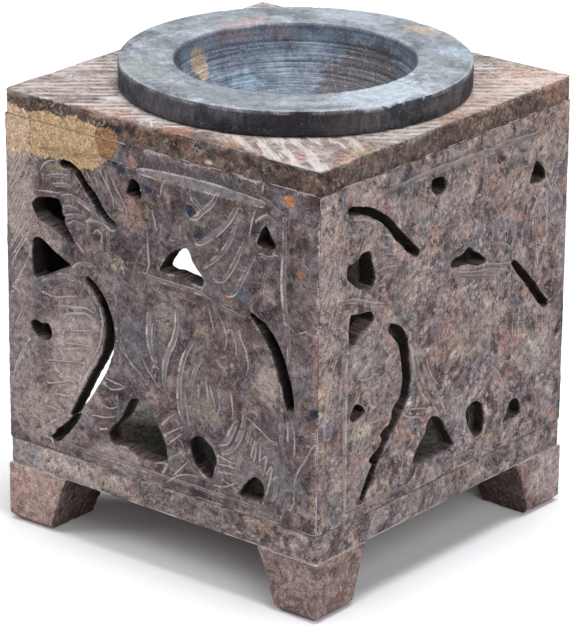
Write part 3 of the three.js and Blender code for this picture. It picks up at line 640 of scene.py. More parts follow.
def flat_loops(node, to_flat):
    """Outlines of a solid's outer face: the edge, then the holes, traced with the stone to the left.
    to_flat turns places into (across, up, depth), with the face at depth 0."""
    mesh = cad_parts[node].data
    mesh.calc_loop_triangles()
    places = to_flat(np.array([vertex.co[:] for vertex in mesh.vertices]) * MM)
    keys = [tuple(row) for row in np.round(places[:, :2], 2)]
    after = {}
    for triangle in mesh.loop_triangles:
        corners = list(triangle.vertices)
        if np.abs(places[corners, 2]).max() < ON_FACE:
            for start, end in zip(corners, corners[1:] + corners[:1]):
                after.setdefault(keys[start], set()).add(keys[end])
    border = {start: end for start, ends in after.items()
              for end in ends if start not in after.get(end, ())}
    loops = []
    while border:
        start = next(iter(border))
        loop = [start]
        step = border.pop(start)
        while step != start:
            loop.append(step)
            step = border.pop(step)
        loops.append(np.array(loop))
    loops.sort(key=lambda loop: -abs(signed_area(loop)))
    return [loop[::-1] if (signed_area(loop) > 0) != (number == 0) else loop
            for number, loop in enumerate(loops)]


# Carved lines

def shifted(strokes):
    """The same lines as they lie on the back panel, whose pattern sits a little to one side."""
    return tuple((width, tuple((across - BACK_PATTERN_SHIFT, up) for across, up in points))
                 for width, points in strokes)


def stroke_lines(strokes):
    return [(width * STROKE_WIDENING, spline(points, STROKE_SPACING)) for width, points in strokes]


def line_places(points, line):
    """How far each point is from a line, how far to the left of it, and its share of the way along."""
    best = np.full(len(points), np.inf)
    aside = np.zeros(len(points))
    along_share = np.zeros(len(points))
    for index, (start, end) in enumerate(zip(line[:-1], line[1:])):
        along = end - start
        offset = points - start
        share = np.clip(offset @ along / (along @ along + TINY), 0, 1)
        away = np.linalg.norm(offset - share[:, None] * along, axis=1)
        nearer = away < best
        best[nearer] = away[nearer]
        cross = along[0] * offset[:, 1] - along[1] * offset[:, 0]
        aside[nearer] = cross[nearer] / (np.linalg.norm(along) + TINY)
        along_share[nearer] = (index + share[nearer]) / (len(line) - 1)
    return best, aside, along_share


def near_line(points, line, reach):
    """Which points lie within reach of a line's box, and their places by the line."""
    near = np.flatnonzero(near_box(points, line, reach))
    return near, *line_places(points[near], line)


def taper(share):
    """How wide a stroke is along its way: narrow where the tool starts and ends."""
    return 0.4 + 0.6 * np.sqrt(np.sin(np.pi * np.clip(share, 0, 1)))


def carve(points, lines):
    """Depth, chalk, painted shade and dusty floor that the carved lines give each point. A fine line is one
    pale scratch. A broad one is a flat groove with a pale edge on each side, the one on its left brighter,
    partly chalk and partly a painted highlight. Just outside each line lies a band of painted shade."""
    marks = np.zeros((4, len(points)))
    depth, chalk, painted_shade, groove = marks
    # Pale edges of broad grooves: the left one brighter, partly chalk and partly a painted highlight
    left_chalk_highlight = 0.85 + 0.7 * fractal(lifted(points), 2.4, 2, 61)
    right_dust = 0.5 + 0.8 * fractal(lifted(points), 2.0, 2, 62)
    for width, line in lines:
        near, away, aside, along = near_line(points, line, width * 2)
        wide = width * taper(along)
        share = away / wide
        fall = smooth_step(0.62, 0.3, share) * min(width / BROAD_STROKE, 1.0)
        depth[near] = np.maximum(depth[near], fall * GROOVE_DEPTH)
        if width < BROAD_STROKE:
            pale = np.exp(-(share / 0.5) ** 2)
        else:
            side = np.where(aside > 0, left_chalk_highlight[near], right_dust[near] * min(width, 1.0))
            pale = np.clip(side, 0, 1) * np.exp(-((away - wide / 2) / EDGE_LINE) ** 2)
            groove[near] = np.maximum(groove[near], smooth_step(0.6, 0.4, share))
        chalk[near] = np.maximum(chalk[near], pale)
        # Painted shade: a dark band just outside the edges of each line
        painted_shade[near] = np.maximum(painted_shade[near], 0.5 * np.exp(-((share - 1.05) / 0.4) ** 2))
    return marks


def hollow(points, lines):
    """Depth of broad scooped-out bands, given as (width, depth, line)."""
    depth = np.zeros(len(points))
    for width, deepest, line in lines:
        near, away, *_ = near_line(points, line, width)
        depth[near] = np.maximum(depth[near], deepest * np.exp(-(away / width * 1.7) ** 2))
    return depth


def stroke_points(lines):
    """Points along and beside each carved line, so that the mesh can hold its shape."""
    points = [np.zeros((0, 2))]
    for width, line in lines:
        wide = width * taper(np.linspace(0, 1, len(line)))
        aside = left_normals(line, False) * wide[:, None]
        points.extend(line + aside * share for share in (0, -0.28, 0.28, -0.5, 0.5, -0.78, 0.78))
    return np.concatenate(points)


# Colour laid on the mesh

def blots(places, table, seed):
    """Mixes soft blots of colour. A row is (middle, reach, colour, strength). Gives colour and cover."""
    wobble = np.column_stack([fractal(places, 3.2, 4, seed + 10 * axis) for axis in range(3)])
    bare = np.ones(len(places))
    weights = np.full(len(places), 1e-6)
    colour = np.outer(weights, MAUVE)
    for middle, reach, tint, strength in table:
        away = np.linalg.norm((places - middle) / reach + wobble * 0.45, axis=1)
        weight = strength * smooth_step(1.3, 0.45, away)
        colour += weight[:, None] * np.array(tint)
        weights += weight
        bare *= 1 - weight
    return np.column_stack([colour / weights[:, None], 1 - bare])


def edge_distance(points, loop):
    """Distance to a closed outline, positive inside it."""
    away = line_places(points, closed_line(loop))[0]
    return np.where(inside(points, loop), away, -away)


def patches(flat, on_face, table, seed):
    """Sharp-edged patches of colour. A row is (colour, outline). The cover runs through one half at the
    edge, so that the material can break the edge up."""
    ragged = fractal(lifted(flat), 1.6, 3, seed) * 0.35
    best = np.full(len(flat), -np.inf)
    colour = np.zeros((len(flat), 3))
    for tint, outline in table:
        outline = np.array(outline, float)
        near = np.flatnonzero(on_face & near_box(flat, outline, PATCH_REACH))
        away = edge_distance(flat[near], outline) + ragged[near]
        nearer = away > best[near]
        colour[near[nearer]] = tint
        best[near[nearer]] = away[nearer]
    return np.column_stack([colour, np.clip(0.5 + best / PATCH_SOFTNESS / 2, 0, 1)])


# Plates: flat pieces with holes, walls and a back

def cell_numbers(points, size):
    """One whole number for each square cell that the points lie in."""
    cells = np.floor(points / size).astype(np.int64)
    return cells[:, 0] * CELL_ROW + cells[:, 1]


def thin(points, spacing):
    """Drops points that share a small cell with an earlier one."""
    return points[np.sort(np.unique(cell_numbers(points, spacing), return_index=True)[1])]


def clear_of(points, loops, gap):
    """Points inside the first loop, outside the others, and not within about a gap of any of them."""
    keep = inside(points, loops[0])
    for loop in loops[1:]:
        near = np.flatnonzero(keep & near_box(points, loop, gap))
        keep[near[inside(points[near], loop)]] = False
    points = points[keep]
    dense = np.concatenate([resample(closed_line(loop), gap / 2, True) for loop in loops])
    edge = cell_numbers(dense, gap)
    taken = np.concatenate([edge + dx * CELL_ROW + dy for dx in (-1, 0, 1) for dy in (-1, 0, 1)])
    return points[~np.isin(cell_numbers(points, gap), taken)]


def scattered(loop, spacing, seed):
    """A shaken grid of points over a loop's box."""
    draw = np.random.default_rng(seed)
    low, high = loop.min(0), loop.max(0)
    across = np.arange(low[0], high[0], spacing)
    up = np.arange(low[1], high[1], spacing)
    grid = np.stack(np.meshgrid(across, up), -1).reshape(-1, 2)
    return grid + draw.uniform(-0.32, 0.32, grid.shape) * spacing


def triangulate(loops, points):
    """Triangles over the area between the loops, and where each loop's points are among the vertices."""
    corners, edges = [], []
    for loop in loops:
        first = len(corners)
        corners.extend(loop)
        edges.extend((first + index, first + (index + 1) % len(loop)) for index in range(len(loop)))
    vectors = [Vector(point) for point in corners] + [Vector(point) for point in points]
    result = delaunay_2d_cdt(vectors, edges, [], 0, 1e-6)
    vertices = np.array([vertex[:] for vertex in result[0]])
    faces = np.array([face[:] for face in result[2]])
    where = np.zeros(len(vectors), int)
    for index, originals in enumerate(result[3]):
        where[list(originals)] = index
    middle = vertices[faces].mean(1)
    keep = inside(middle, loops[0])
    for loop in loops[1:]:
        keep &= ~inside(middle, loop)
    ends = np.cumsum([len(loop) for loop in loops])
    return vertices, faces[keep], np.split(where[:ends[-1]], ends[:-1])


def plate(loops, thickness, levels, front_depth, inset, wall_shift, extra, seed):
    """A closed plate. Its first loop is the outer edge and the rest are holes, all traced with the stone to
    the left. inset(points, depth) moves the outer edge with depth, for a mitre. Returns places as (across,
    up, depth), faces and how many of the places are the front."""
    asides = [left_normals(loop, True) for loop in loops]
    fronts = [loop + aside * RIM_ROUNDING for loop, aside in zip(loops, asides)]
    candidates = np.concatenate([extra, scattered(loops[0], FACE_SPACING, seed)])
    points = clear_of(thin(candidates, LEAST_SPACING), fronts, RIM_CLEARANCE)
    vertices, faces, rings = triangulate(fronts, points)
    depth = front_depth(vertices)
    places = [np.column_stack([vertices, depth])]
    all_faces = [tuple(face) for face in faces]
    total = front_count = len(vertices)
    back_rings, back_loops = [], []
    for number, (loop, aside, ring) in enumerate(zip(loops, asides, rings)):
        top = depth[ring]
        for level in levels:
            low = top * (1 - level / thickness) + level
            pulled = RIM_ROUNDING * worn(level, RIM_ROUNDING)
            moved = loop + aside * (wall_shift(lifted(loop, level), number) + pulled)[:, None]
            if number == 0:
                moved = inset(moved, level)
            here = np.arange(total, total + len(loop))
            places.append(np.column_stack([moved, low]))
            total += len(loop)
            all_faces.extend(zip(np.roll(ring, -1), ring, here, np.roll(here, -1)))
            ring = here
        back_rings.append(ring)
        back_loops.append(moved)
    back_points = clear_of(scattered(back_loops[0], BACK_SPACING, seed + 1), back_loops, BACK_SPACING / 4)
    vertices, faces, rings = triangulate(back_loops, back_points)
    where = np.arange(len(vertices)) + total
    where[np.concatenate(rings)] = np.concatenate(back_rings)
    places.append(lifted(vertices, thickness))
    all_faces.extend(tuple(where[face[::-1]]) for face in faces)
    return np.concatenate(places), all_faces, front_count


def make_object(name, places, faces, channels, body, material, sharp_angle=50):
    """A mesh object from places in millimetres, with its paint channels, standing for the solid of that
    name. Places that no face uses are dropped."""
    used = np.unique(np.concatenate(faces))
    number = np.zeros(len(places), int)
    number[used] = np.arange(len(used))
    mesh = bpy.data.meshes.new(name)
    mesh.from_pydata((places[used] * METRE).tolist(), [], [number[list(face)].tolist() for face in faces])
    for channel, values in channels.items():
        values = np.asarray(values)[used].astype(np.float32)
        kind, slot = ("FLOAT", "value") if values.ndim == 1 else ("FLOAT_COLOR", "color")
        mesh.attributes.new(channel, kind, "POINT").data.foreach_set(slot, values.ravel())
    mesh.validate()
    mesh.shade_smooth()
    mesh.set_sharp_from_angle(angle=math.radians(sharp_angle))
    mesh.materials.append(material)
    piece = bpy.data.objects.new(name + "_stone", mesh)
    bpy.context.scene.collection.objects.link(piece)
    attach(piece, body)
    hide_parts(name)
    return piece


# Panels

# Depths of the wall's rings of points, and the depth to which a place counts as the front
PANEL_LEVELS = (RIM_ROUNDING * 0.35, RIM_ROUNDING, 0.7, 1.4, 2.4, WALL)
FRONT_ZONE = 1.0
HOLE_RAGGEDNESS = 0.12


def turned(points, quarter_turns):
    """Points turned about the upright axis."""
    x, y, z = points[..., 0], points[..., 1], points[..., 2]
    for _ in range(quarter_turns % 4):
        x, y = -y, x
    return np.stack([x, y, z], -1)


def rim_distance(points, loops):
    """Distance from each point to the nearest hole."""
    corners = lifted(np.concatenate(loops))
    tree = KDTree(len(corners))
    for index, corner in enumerate(corners):
        tree.insert(corner, index)
    tree.balance()
    return np.array([tree.find(point)[2] for point in lifted(points)])


def panel_loops(name, to_flat, growth, seed):
    """A panel's edge, and its holes, which are ragged and larger by so much on each side."""
    edge, *holes = flat_loops(name, to_flat)
    outer = resample(closed_line(edge), EDGE_SPACING, True)
    outer[[np.argmin(np.linalg.norm(outer - corner, axis=1)) for corner in edge]] = edge
    loops = [outer]
    for hole in holes:
        loop = spline(hole, EDGE_SPACING, True)
        ragged = fractal(lifted(loop, seed), 1.8, 2, seed) * HOLE_RAGGEDNESS + growth
        loops.append(loop + left_normals(loop, True) * ragged[:, None])
    return loops


def panel_wear(points, seed):
    """Depth lost at the upright corners and in the joints with the slabs."""
    solid = lifted(points, seed * 10)
    corner = worn(PANEL_WIDTH / 2 - np.abs(points[:, 0]), CORNER_WEAR_REACH)
    corner = corner * (CORNER_WEAR + 0.16 * noise(solid, 3, seed) + 0.12 * noise(solid, 0.9, seed + 1))
    joint = worn(end_distance(points[:, 1], PANEL_BOTTOM, PANEL_TOP), JOINT_REACH) * JOINT_DEPTH
    return np.clip(corner, 0, None) + joint


def cut_shade_shares(places, on_wall, pale_ledge):
    """How much near-black painted shade each place gets, on the walls of the holes and on the inside face
    above a height.
    """
    across, up, depth = places.T
    # The inside face below the line keeps the colour of the stone; the rest of the walls gets painted shade
    dusty_inside = smooth_step(WALL - 0.1, WALL - 0.05, depth) * smooth_step(INSIDE_SHADE_LINE, INSIDE_SHADE_LINE - 12, up)
    left, right, height = pale_ledge
    ledge = smooth_step(left - 0.5, left + 0.5, across) * smooth_step(right + 0.5, right - 0.5, across)
    low_part = smooth_step(height + 0.6, height - 0.6, up)
    wall = smooth_step(0.1, 0.45, depth) * on_wall
    return wall * (1 - dusty_inside) * (1 - 0.8 * ledge * low_part)


def panel_channels(places, room, wall, lines, holes, seed):
    """Where a panel is chalky, painted with shade beside its grooves and on the walls of its cuts, and dusty
    in its grooves.
    """
    flat, depth = places[:, :2], places[:, 2]
    _, chalk, painted_shade, groove = carve(flat, lines)
    joint = smooth_step(0.34, 0.12, end_distance(flat[:, 1], PANEL_BOTTOM, PANEL_TOP)) * 0.7
    arris = smooth_step(0.65, 0.15, PANEL_WIDTH / 2 - np.abs(flat[:, 0])) * 0.6
    rim = np.zeros(len(places))
    if holes:
        on_front = depth < FRONT_ZONE
        rim[on_front] = 0.6 * np.exp(-(rim_distance(flat[on_front], holes) / 0.24) ** 2)
    patchy = smooth_step(-0.25, 0.35, fractal(room, 3.0, 3, seed + 8))
    edges = np.maximum(np.maximum(joint, arris), rim)
    chalk = np.maximum(chalk * (0.7 + 0.3 * patchy), edges * patchy)
    return {"chalk": chalk * smooth_step(FRONT_ZONE, 0.5, depth), "painted_shade": painted_shade * (1 - wall), "wall": wall,
            "groove": groove * (1 - wall)}


def panel_piece(name, quarter_turns, carving, seed, material, blot_table, patch_table=(), narrowing=0.0,
                pale_ledge=(0, 0, 0)):
    """A pierced and carved panel, mitred at its upright edges, whose holes narrow inwards by so much. The
    ledge of a hole between two places along the panel and under a height stays as pale as the front."""
    strokes, hollows = carving
    lines = stroke_lines(strokes)
    scoops = [(width, deepest, spline(points, STROKE_SPACING)) for width, deepest, points in hollows]
    half_width = PANEL_WIDTH / 2

    def to_flat(room):
        back = turned(room, -quarter_turns)
        return np.stack([back[:, 0], back[:, 2], back[:, 1] + HALF_BODY], -1)

    def front_depth(points):
        solid = lifted(points, seed * 10)
        rough = 1 + 0.9 * fractal(solid, 7, 3, seed) + 0.5 * fractal(solid, 1.5, 2, seed + 5)
        carved = rough * ROUGHNESS_DEPTH + carve(points, lines)[0] + hollow(points, scoops)
        return np.clip(carved + panel_wear(points, seed), 0, None)

    def wall_shift(places, number):
        lumps = noise(places, 1.3, seed + 3) * 0.08
        filed = noise(places * (1, 1, 0.15), 0.55, seed + 4) * 0.08
        return np.clip(lumps, 0, None) if number == 0 else lumps + filed - narrowing

    def inset(points, depth):
        return points * ((half_width - depth) / half_width, 1)

    loops = panel_loops(name, to_flat, HOLE_WEAR if hollows else -narrowing / 2, seed)
    places, faces, front_count = plate(loops, WALL, PANEL_LEVELS, front_depth, inset, wall_shift,
                                       stroke_points(lines), seed)
    room = turned(np.stack([places[:, 0], places[:, 2] - HALF_BODY, places[:, 1]], -1), quarter_turns)
    wall = cut_shade_shares(places, np.arange(len(places)) >= front_count, pale_ledge)
    channels = panel_channels(places, room, wall, lines, loops[1:], seed)
    channels["blot"] = blots(room, blot_table, seed)
    channels["patch"] = patches(places[:, :2], places[:, 2] < FRONT_ZONE, patch_table, seed)
    piece = make_object(name, room, faces, channels, BODY, material)
    return piece


# Slabs

# How many steps a slab's wall has under its rounded edge
SLAB_LEVELS = 10

# How far the dark edge of the lid reaches back, by place along the front
LID_DARK_EDGE = ((-38, -15, -5.5, 5, 18, 28, 33), (0, 1.1, 2.0, 3.4, 2.2, 0.6, -0.5))
NO_DARK_EDGE = ((0,), (-9,))

# How chalky the upper edges of a slab are
ARRIS_CHALK = 0.85
LID_ARRIS_CHALK = 0.4


def slab_channels(places, room, thickness, lines, dark_edge, arris_chalk, seed):
    """Where a slab is chalky, sawn, dusty in its grooves, and sawn across."""
    x, y, _ = room.T
    depth = places[:, 2]
    outward = np.abs(room[:, :2]).max(1)
    on_side = smooth_step(HALF_BODY - 1.2, HALF_BODY - 0.5, outward)
    patchy = smooth_step(-0.5, 0.4, fractal(room, 2.2, 3, seed + 8))
    chalk = smooth_step(0.32, 0.1, end_distance(depth, 0, thickness)) * on_side * patchy
    chalk = chalk * np.where(depth < thickness / 2, arris_chalk, ARRIS_CHALK)
    _, scribed, _, groove = carve(places[:, :2], lines) * (1 - on_side)
    sawn = smooth_step(0.5, 0.15, depth) * (1 - smooth_step(HALF_BODY - 0.45, HALF_BODY - 0.1, outward))
    bare = np.interp(x, *dark_edge) - (y + HALF_BODY) + 0.5 * fractal(room, 2.0, 3, seed + 4)
    across = smooth_step(8, 16, x + 3 * noise(room, 6, seed)) * smooth_step(-14, -22, y)
    nothing = np.zeros(len(room))
    return {"chalk": np.maximum(chalk, scribed), "painted_shade": nothing, "wall": nothing,
            "sawn": sawn * smooth_step(0.15, -0.3, bare), "groove": groove, "across": across}


def slab_piece(name, seed, material, blot_table, patch_table=(), strokes=(), dark_edge=NO_DARK_EDGE,
               arris_chalk=ARRIS_CHALK):
    """A square slab with worn edges, whose top is sawn but for a dark edge in front."""
    bottom, top = (corner[2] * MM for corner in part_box(name))
    thickness = top - bottom

    def flipped(places):
        """Heights turned into depths under the top, or back again."""
        return np.stack([places[:, 0], places[:, 1], top - places[:, 2]], -1)

    def chips(places):
        large, small = noise(places, 2.3, seed + 7) - 0.3, noise(places, 0.9, seed + 8) - 0.5
        return np.clip(large, 0, None) + np.clip(small, 0, None)

    def front_depth(points):
        solid = lifted(points, seed * 10)
        rough = 0.9 + 0.8 * fractal(solid, 8, 3, seed) + 0.4 * fractal(solid, 1.3, 2, seed)
        wear = worn(HALF_BODY - np.abs(points).max(1), 0.9) * (0.2 + chips(solid))
        return np.clip(ROUGHNESS_DEPTH * rough + wear, 0, None)

    def wall_shift(places, number):
        rough = 0.9 + 0.7 * fractal(places, 6, 3, seed + 2) + 0.4 * noise(places, 1, seed)
        joint = worn(end_distance(places[:, 2], 0, thickness), JOINT_REACH) * JOINT_DEPTH
        corner = smooth_step(HALF_BODY - 1.6, HALF_BODY - 0.2, np.abs(places[:, :2]).min(1)) * 0.35
        arris = worn(places[:, 2], 0.8) * chips(places) * 0.8
        return np.clip(ROUGHNESS_DEPTH * rough + joint + corner + arris, 0, None)

    def inset(points, depth):
        return points

    loops = [resample(closed_line(loop), EDGE_SPACING, True) for loop in flat_loops(name, flipped)]
    lines = stroke_lines(strokes)
    levels = [RIM_ROUNDING * 0.35] + [RIM_ROUNDING + (thickness - RIM_ROUNDING) * step / SLAB_LEVELS
                                      for step in range(SLAB_LEVELS + 1)]
    places, faces, _ = plate(loops, thickness, levels, front_depth, inset, wall_shift,
                             stroke_points(lines), seed)
    room = flipped(places)
    on_front = (room[:, 1] < 0.5 - HALF_BODY) & (np.abs(room[:, 0]) < HALF_BODY)
    channels = slab_channels(places, room, thickness, lines, dark_edge, arris_chalk, seed)
    channels["blot"] = blots(room, blot_table, seed)
    channels["patch"] = patches(room[:, (0, 2)], on_front, patch_table, seed)
    piece = make_object(name, room, faces, channels, BODY, material)
    return piece


# Feet

FOOT_VOXEL = 0.3
FOOT_SHARP_ANGLE = 60


def fine_mesh(name):
    """A solid remeshed finely: its places, normals and faces."""
    block = bpy.data.objects.new(name + "_block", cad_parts[name].data.copy())
    bpy.context.scene.collection.objects.link(block)
    remesh = block.modifiers.new("remesh", "REMESH")
    remesh.mode = "VOXEL"
    remesh.voxel_size = FOOT_VOXEL * METRE
    smooth = block.modifiers.new("smooth", "SMOOTH")
    smooth.iterations = 3
    smooth.factor = 0.5
    mesh = bpy.data.meshes.new_from_object(block.evaluated_get(bpy.context.evaluated_depsgraph_get()))
    bpy.data.objects.remove(block)
    places, normals = np.zeros((2, len(mesh.vertices) * 3))
    mesh.vertices.foreach_get("co", places)
    mesh.vertices.foreach_get("normal", normals)
    faces = [tuple(polygon.vertices) for polygon in mesh.polygons]
    bpy.data.meshes.remove(mesh)
    return places.reshape(-1, 3) * MM, normals.reshape(-1, 3), faces


def foot_piece(name, seed, material):
    """The solid meshed finely, with worn edges and saw marks, and painted shade on the sides that face in
    under the body.
    """
    places, normals, faces = fine_mesh(name)
    low, high = (np.array(corner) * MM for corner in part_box(name))
    outer = np.sign(low + high) * (1, 1, 0)
    # The sides that face in under the body: sawn, and painted dark as shade
    hidden_shaded_side = smooth_step(0.2, 0.8, -(normals @ outer))
    sawn = np.sin(places @ np.array([0.9, 0.6, 4.2]) + 2.5 * noise(places, 5, seed))
    depth = 0.12 + 0.08 * fractal(places, 5, 2, seed) + 0.04 * noise(places, 0.8, seed + 1)
    depth = depth + hidden_shaded_side * (0.08 + 0.08 * sawn)
    chips = np.clip(noise(places, 2.2, seed + 9) - 0.15, 0, None)
    near_floor = smooth_step(3.0, 0.0, places[:, 2])
    depth = depth + chips * near_floor * 0.45
    moved = np.clip(places - normals * np.clip(depth, 0, None)[:, None], low, high)
    glue = smooth_step(0.35, 0.1, np.abs(places[:, 2] - high[2])) * 0.6
    channels = {"chalk": glue, "painted_shade": 0.35 * hidden_shaded_side, "wall": np.zeros(len(places)),
                "sawn": hidden_shaded_side, "blot": blots(moved, FOOT_BLOTS, seed)}
    piece = make_object(name, moved, faces, channels, BODY, material, FOOT_SHARP_ANGLE)
    return piece


# Dish

DISH_MIDDLE = (DISH_LOW + DISH_HIGH) / 2
DISH_RADIUS = (DISH_HIGH[0] - DISH_LOW[0]) / 2
DISH_TOP = DISH_HIGH[2]
DISH_RIM_WIDTH = 11.2
BOWL_RADIUS = DISH_RADIUS - DISH_RIM_WIDTH
BOWL_DEPTH = 13.5
BOWL_WALL = 4.2
BOWL_FLOOR_RADIUS = 8
BOWL_EDGE = 0.9
RIM_EDGE = 0.5
SMOOTH_BAND = 4.1
POLISHED_FROM = 0.8
TURNS = 288
DISH_SHARP_ANGLE = 60


def arc(steps):
    return [math.pi / 2 * step / steps for step in range(steps + 1)]


def dish_profile():
    """The turned outline as rows of radius, height, how ringed it is and how much it is the polished outer
    side. It runs from the middle of the bowl out over the rim and back under."""
    spread = BOWL_RADIUS - BOWL_FLOOR_RADIUS
    rows = [(BOWL_FLOOR_RADIUS * step / 20, DISH_TOP - BOWL_DEPTH, 1, 0) for step in range(1, 20)]
    for turn in arc(90):
        height = DISH_TOP - BOWL_EDGE - (BOWL_DEPTH - BOWL_EDGE) * math.cos(turn)
        ringed = 1 if height < DISH_TOP - SMOOTH_BAND else 0.12
        rows.append((BOWL_FLOOR_RADIUS + spread * math.sin(turn), height, ringed, 0))
    rows.extend((BOWL_RADIUS + BOWL_EDGE * (1 - math.cos(turn)), DISH_TOP - BOWL_EDGE * (1 - math.sin(turn)),
                 0.1, 0) for turn in arc(7)[1:])
    inner, outer = BOWL_RADIUS + BOWL_EDGE, DISH_RADIUS - RIM_EDGE
    rows.extend((inner + (outer - inner) * step / 30, DISH_TOP, 0.06, 0) for step in range(1, 30))
    rows.extend((outer + RIM_EDGE * math.sin(turn), DISH_TOP - RIM_EDGE * (1 - math.cos(turn)),
                 0, turn > POLISHED_FROM) for turn in arc(6))
    high, low = DISH_TOP - RIM_EDGE, SLAB_TOP + RIM_EDGE
    rows.extend((DISH_RADIUS, high + (low - high) * step / 15, 0.1, 1) for step in range(1, 15))
    rows.extend((outer + RIM_EDGE * math.cos(turn), low - RIM_EDGE * math.sin(turn), 0, 1)
                for turn in arc(4))
    outside = BOWL_RADIUS + BOWL_WALL
    rows.append(((DISH_RADIUS + outside) / 2, SLAB_TOP, 0, 0))
    rows.extend((BOWL_FLOOR_RADIUS + (outside - BOWL_FLOOR_RADIUS) * math.sin(turn),
                 SLAB_TOP - (SLAB_TOP - DISH_LOW[2]) * math.cos(turn), 0.4, 0) for turn in reversed(arc(26)))
    return np.array(rows, float)


def dish_depth(rows, places):
    """How deep tool rings, wear and chips lie under the turned outline."""
    radius, height, ringed = rows.T[:3, :, None]
    steps = np.linalg.norm(np.diff(rows[:, :2], axis=0), axis=1)
    travel = np.concatenate([[0], np.cumsum(steps)])[:, None] + 0.2 * noise(places * (1, 1, 0.4), 14, 31)
    chatter = noise(travel[..., None] * (2.2, 0, 0), 1, 35)
    tool = np.sin(travel * 5.6) * 0.08 + np.sin(travel * 2.3 + 0.6) * 0.1 + chatter * 0.06
    depth = 0.06 + 0.05 * fractal(places, 9, 3, 33) + 0.03 * noise(places, 1.0, 34)
    depth = depth + ringed * tool + (ringed > 0.5) * 0.14
    ledge = np.exp(-((height - DISH_TOP + SMOOTH_BAND) / 0.3) ** 2) * 0.3
    rim = np.exp(-((radius - DISH_RADIUS + 0.3) / 0.5) ** 2) * 0.5
    depth = depth + ledge * (radius < BOWL_RADIUS + 0.5)
    return np.clip(depth + rim * np.clip(noise(places, 1.7, 36) - 0.3, 0, None), 0, None)


def dish_places(rows):
    """Each row of the outline turned round the middle and worn, then the middles of the bowl and below."""
    angles = np.arange(TURNS) / TURNS * math.tau
    spread = np.stack([np.cos(angles), np.sin(angles)], -1)
    places = np.empty((len(rows), TURNS, 3))
    places[..., :2] = DISH_MIDDLE[:2] + rows[:, 0, None, None] * spread
    places[..., 2] = rows[:, 1, None]
    depth = dish_depth(rows, places)
    outward, upward = left_normals(rows[:, :2], False).T[:, :, None]
    places[..., :2] -= (outward * depth)[..., None] * spread
    places[..., 2] -= upward * depth
    ends = [(*DISH_MIDDLE[:2], rows[row, 1]) for row in (0, -1)]
    return np.concatenate([np.clip(places.reshape(-1, 3), DISH_LOW, DISH_HIGH), ends])


def dish_faces(count):
    """Faces between so many rings of places, and from the end rings to the two middles."""
    ring = np.arange(TURNS)
    after = np.roll(ring, -1)
    faces = []
    for first in range(0, (count - 1) * TURNS, TURNS):
        second = first + TURNS
        faces.extend(zip(ring + first, ring + second, after + second, after + first))
    last, middle = (count - 1) * TURNS, count * TURNS
    faces.extend((middle, i, j) for i, j in zip(ring, after))
    faces.extend((middle + 1, j, i) for i, j in zip(ring + last, after + last))
    return faces


def dish_piece(material):
    """The turned dish, with tool rings inside the bowl."""
    rows = dish_profile()
    radius, height, ringed, outer = rows.T
    places = dish_places(rows)

    def around(values, first, last):
        """One value for each place, from those of the rows and of the two middles."""
        return np.concatenate([np.repeat(values, TURNS), [first, last]])

    rim_edge = np.exp(-((radius - DISH_RADIUS + 0.25) / 0.3) ** 2) * (height > DISH_TOP - 1)
    bowl_edge = np.exp(-((radius - BOWL_RADIUS - 0.3) / 0.22) ** 2) * (height > DISH_TOP - BOWL_EDGE)
    patchy = smooth_step(-0.3, 0.5, fractal(places, 3.0, 3, 38))
    in_bowl = (radius < BOWL_RADIUS + 0.2) * (height < DISH_TOP - 0.2)
    channels = {"chalk": around(np.maximum(rim_edge, bowl_edge), 0, 0) * patchy,
                "ringed": around(ringed, 1, 0), "outer": around(outer, 0, 0),
                "bowl": around(in_bowl.astype(float), 1, 0), "blot": blots(places, DISH_BLOTS, 40)}
    faces = dish_faces(len(rows))
    piece = make_object("dish", places, faces, channels, DISH_BODY, material, DISH_SHARP_ANGLE)
    return piece


# Materials

